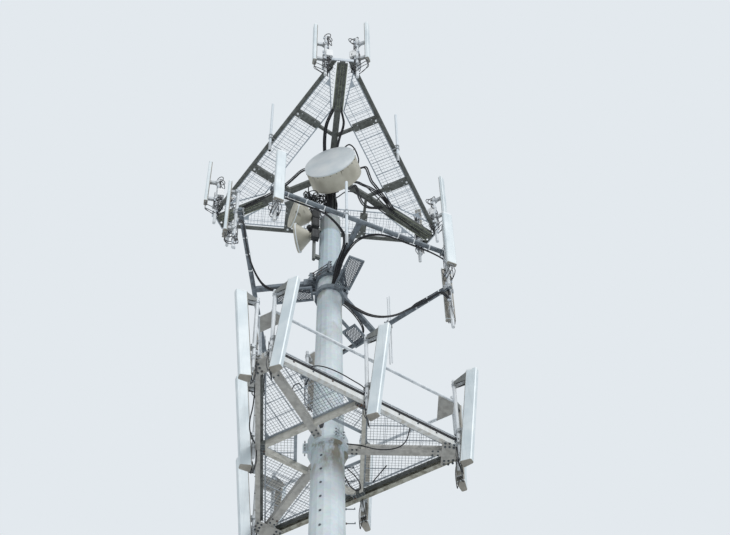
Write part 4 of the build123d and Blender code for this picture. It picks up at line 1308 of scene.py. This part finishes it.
def loops(sockets, foot, facing, low, high):
    """Jumpers that hang from sockets in a loop and then run up a pipe to their clip."""
    routes = []
    for i, start in enumerate(sockets):
        spread = 0.035 * (i - (len(sockets) - 1) / 2)
        drop = upright * (0.11 + 0.045 * ((i * 5) % 3))
        back = spot(facing, -0.060, spread * 0.8, 0)
        side = spot(facing, 0, 0.06 * (1 if i % 2 else -1), 0)
        bottom = (start + foot) / 2
        bottom.z = start.z
        knee = foot + back + upright * (low + 0.18)
        end = foot + back + upright * high
        routes.append([
            start, start - drop * 0.4, start - drop * 0.9 + side * 0.5, bottom - drop * 1.6 + side,
            foot + back * 1.2 + side * 0.7 + upright * low - drop * 0.5, knee, (knee + end) / 2, end])
    return routes


jumpers, coils = [], []
joints = bmesh.new()
for (facing, seat, sockets), found in zip(top_aerials, case_sockets):
    foot = seat.foot
    head = seat.size["pipe_low"] + top_pipe_length
    behind = facing + 180.0
    for k in range(3):
        centre = foot + spot(behind, 0.030 + 0.030 * k, 0.030 * (k - 1), head + 0.010 - 0.070 * k)
        coils.append(coil(centre, behind + 40.0 * (k - 1), 0.080 + 0.015 * k, 0.130))
    for k in range(2):
        low = foot + spot(behind, 0.052, 0.050 * (2 * k - 1), top_z - 0.20)
        coils.append([low, low + upright * 0.40, low + spot(behind, 0.030, 0, 0.75), low + upright * 1.00,
                      Vector((low.x, low.y, head - 0.12))])
        centre = foot + spot(behind, 0.060, 0.060 * (2 * k - 1), top_z - 0.060 - 0.060 * k)
        coils.append(coil(centre, behind + 70.0 * k, 0.110, 0.150))
    for k in range(4):
        centre = foot + spot(behind + 55.0 * (k - 1.5), 0.070, 0, top_z + 0.060 + 0.240 * k)
        coils.append(coil(centre, behind + 35.0 * (k - 1), 0.060 + 0.010 * (k % 2), 0.115))
    for k in range(13):
        at = foot + spot(behind + 50.0 * ((k * 4) % 7 - 3), 0.058, 0, head - 0.08 - 0.125 * k)
        rod(joints, at, at - upright * 0.085, top_joint_radius)
    jumpers += loops(sockets, foot, facing, top_z - 0.28, top_z + 0.36)
    jumpers += loops(found, foot, behind, top_z + 0.10, top_z + 0.62)
cables("top_jumper_cables", jumper_radius, jumpers)
cables("top_pipe_coils", spare_coil_radius, coils)
piece("top_pipe_connectors", joints, end_steel)
jumpers = []
joints = bmesh.new()
for name, facing, seat, sockets in ring_aerials:
    foot = seat.foot
    behind = facing + 180.0
    used = sockets[1:2] if name == "right" else sockets
    jumpers += loops(used, foot, facing, ring_z - 1.02, ring_z - 0.12)
    if name == "right":
        continue
    for k in range(3):
        centre = foot + spot(behind + 60.0 * (k - 1), 0.050, 0, ring_z - 1.160 + 0.120 * k)
        jumpers.append(coil(centre, behind + 45.0 * k, 0.070 + 0.015 * k, 0.120))
    for k in range(7):
        at = foot + spot(behind + 55.0 * ((k * 3) % 5 - 2), 0.056, 0, ring_z - 0.860 - 0.065 * k)
        rod(joints, at, at - upright * 0.075, ring_joint_radius)
for end in feeder_ends:
    rod(joints, end - upright * 0.060, end + upright * 0.025, ring_joint_radius)
cables("ring_jumper_cables", jumper_radius, jumpers)
piece("ring_pipe_connectors", joints, end_steel)
jumpers = []
for facing, seat, sockets in deck_aerials:
    jumpers += loops(sockets[1:3], seat.foot, facing, deck_z - 0.34, deck_z + 0.30)
cables("deck_jumper_cables", jumper_radius, jumpers)

# Single cables of the middle platform, 24 mm thick: an arch and three straight runs on the
# front beam, the runs stacked into a dark band that is partly a painted shadow under the toe
# rail, loose loops under the mesh, a short run in it, and a short end above it.
loose_radius = 0.012
alone = ((0.0, 0.0),)
# Three runs one over another: a dark band that is partly these cables and partly a painted shadow under the
# toe rail.
stacked_runs_and_rail_shadow = ((0.0, 0.0), (0.0, 0.022), (0.0, 0.044))
front, back, side_left = deck_sides.values()
routes = bundles(deck_top, (
    (front, alone, [
        (1.320, -1.200, 0.020), (1.330, -1.080, 0.150), (1.330, -0.940, 0.235), (1.330, -0.760, 0.290),
        (1.330, -0.520, 0.305), (1.330, -0.280, 0.270), (1.335, -0.100, 0.245), (1.330, 0.020, 0.170),
        (1.320, 0.140, 0.020)]),
    (front, stacked_runs_and_rail_shadow, [
        (1.318, -1.950, 0.012), (1.322, -0.900, 0.012), (1.318, 0.300, 0.012), (1.322, 1.950, 0.012)])))
routes += bundles(deck_z, (
    (deck_corners["right"], alone, [
        (0.330, -0.140, -0.02), (0.560, -0.180, -0.09), (0.920, -0.090, -0.13), (1.300, -0.130, -0.11),
        (1.460, -0.330, -0.05), (1.470, -0.600, 0.02)]),
    (side_left, alone, [
        (1.325, 1.400, 0.02), (1.335, 1.000, 0.01), (1.430, 0.620, -0.06), (1.400, 0.300, -0.05),
        (1.325, 0.100, 0)]),
    (back, alone, [
        (0.560, -0.100, -0.02), (0.760, -0.200, -0.10), (1.040, -0.140, -0.12), (1.080, 0.020, -0.04),
        (0.860, 0.060, -0.02), (0.640, 0.020, 0)])))
routes += bundles(deck_top, (
    (back, alone, [(1.120, -0.330, 0), (1.000, -0.520, -0.03), (0.900, -0.740, 0)]),))
loose_end = spot(spare_azimuth, beam_inner + 0.01, 0, hole_z - 0.05)
bends = ((0, 0, 0), (-0.04, -0.09, 0.02), (-0.12, -0.10, -0.04), (-0.16, -0.02, 0.02), (-0.20, 0.10, 0.00))
routes.append([loose_end + Vector(bend) for bend in bends])
cables("deck_single_cables", loose_radius, routes)

# Ties round the face pipes of the ring. Pale plastic straps, drawn tight by hand, that
# hold the feeder cables up.
tie_width = 0.024
tie_places = (
    (near, (-1.6, -1.2, -0.8, 0.5, 0.85, 1.2, 1.55)), (left, (0.5, 0.9, 1.3, 1.65)),
    (right, (-1.7, -1.4, -1.1, 0.5, 1.0, 1.5)))
mesh = bmesh.new()
for azimuth, acrosses in tie_places:
    for across in acrosses:
        start = spot(azimuth, arm_reach - 0.010, across - tie_width / 2, ring_z - 0.012)
        rod(mesh, start, start + spot(azimuth, 0, tie_width, 0), face_radius + 0.014, 12)
piece("cable_ties", mesh, cap_plastic)

# Junction box. A white moulded lid on a dark cast base, hung under the left arm of the
# top platform on two flat bars; the cables of the dishes are joined in it.
box_low = 35.890
base_height = 0.042
mesh, lids = bmesh.new(), bmesh.new()
slab(lids, corner_left, (0.910, 1.130), (-0.100, 0.120), (box_low + 0.040, box_low + 0.150))
slab(mesh, corner_left, (0.925, 1.115), (-0.085, 0.105), (box_low, box_low + base_height))
for across in (-0.060, 0.060):
    slab(mesh, corner_left, (1.000, 1.040), (across - bar_half, across + bar_half), (36.030, 36.560))
piece("junction_box_lid", lids, case_coat)
piece("junction_box_base", mesh, top_steel)

# Radio units of the small dishes. Dark cast cases with cooling fins, clamped to the dish
# pipe, and one round black cover beside them.
unit_azimuth = -75.0
mesh, ends = bmesh.new(), bmesh.new()
for z in (33.300, 33.780, 34.130):
    blocks = [(0.030, 0.150, -0.080, 0.080, 0.0, 0.300)]
    for i in range(5):
        middle = -0.062 + 0.031 * i
        blocks.append((0.148, 0.172, middle - 0.004, middle + 0.004, 0.01, 0.29))
    for inner, outer, low, high, foot, head in blocks:
        square = [(low, foot), (high, foot), (high, head), (low, head)]
        loft(mesh, [[dish_foot + spot(unit_azimuth, along, a, z + b) for a, b in square]
                    for along in (inner, outer)])
cover_start = dish_foot + Vector((-0.060, 0.020, 33.800))
rod(ends, cover_start, dish_foot + Vector((-0.125, -0.110, 33.800)), 0.062, 16)
cast_dark = weathered_steel("dark_cast_aluminium", "#3b3e41", "#2e3134", "#232527", 0.1)
piece("dish_radio_units", mesh, cast_dark)
piece("dish_radio_end", ends, cable_black)
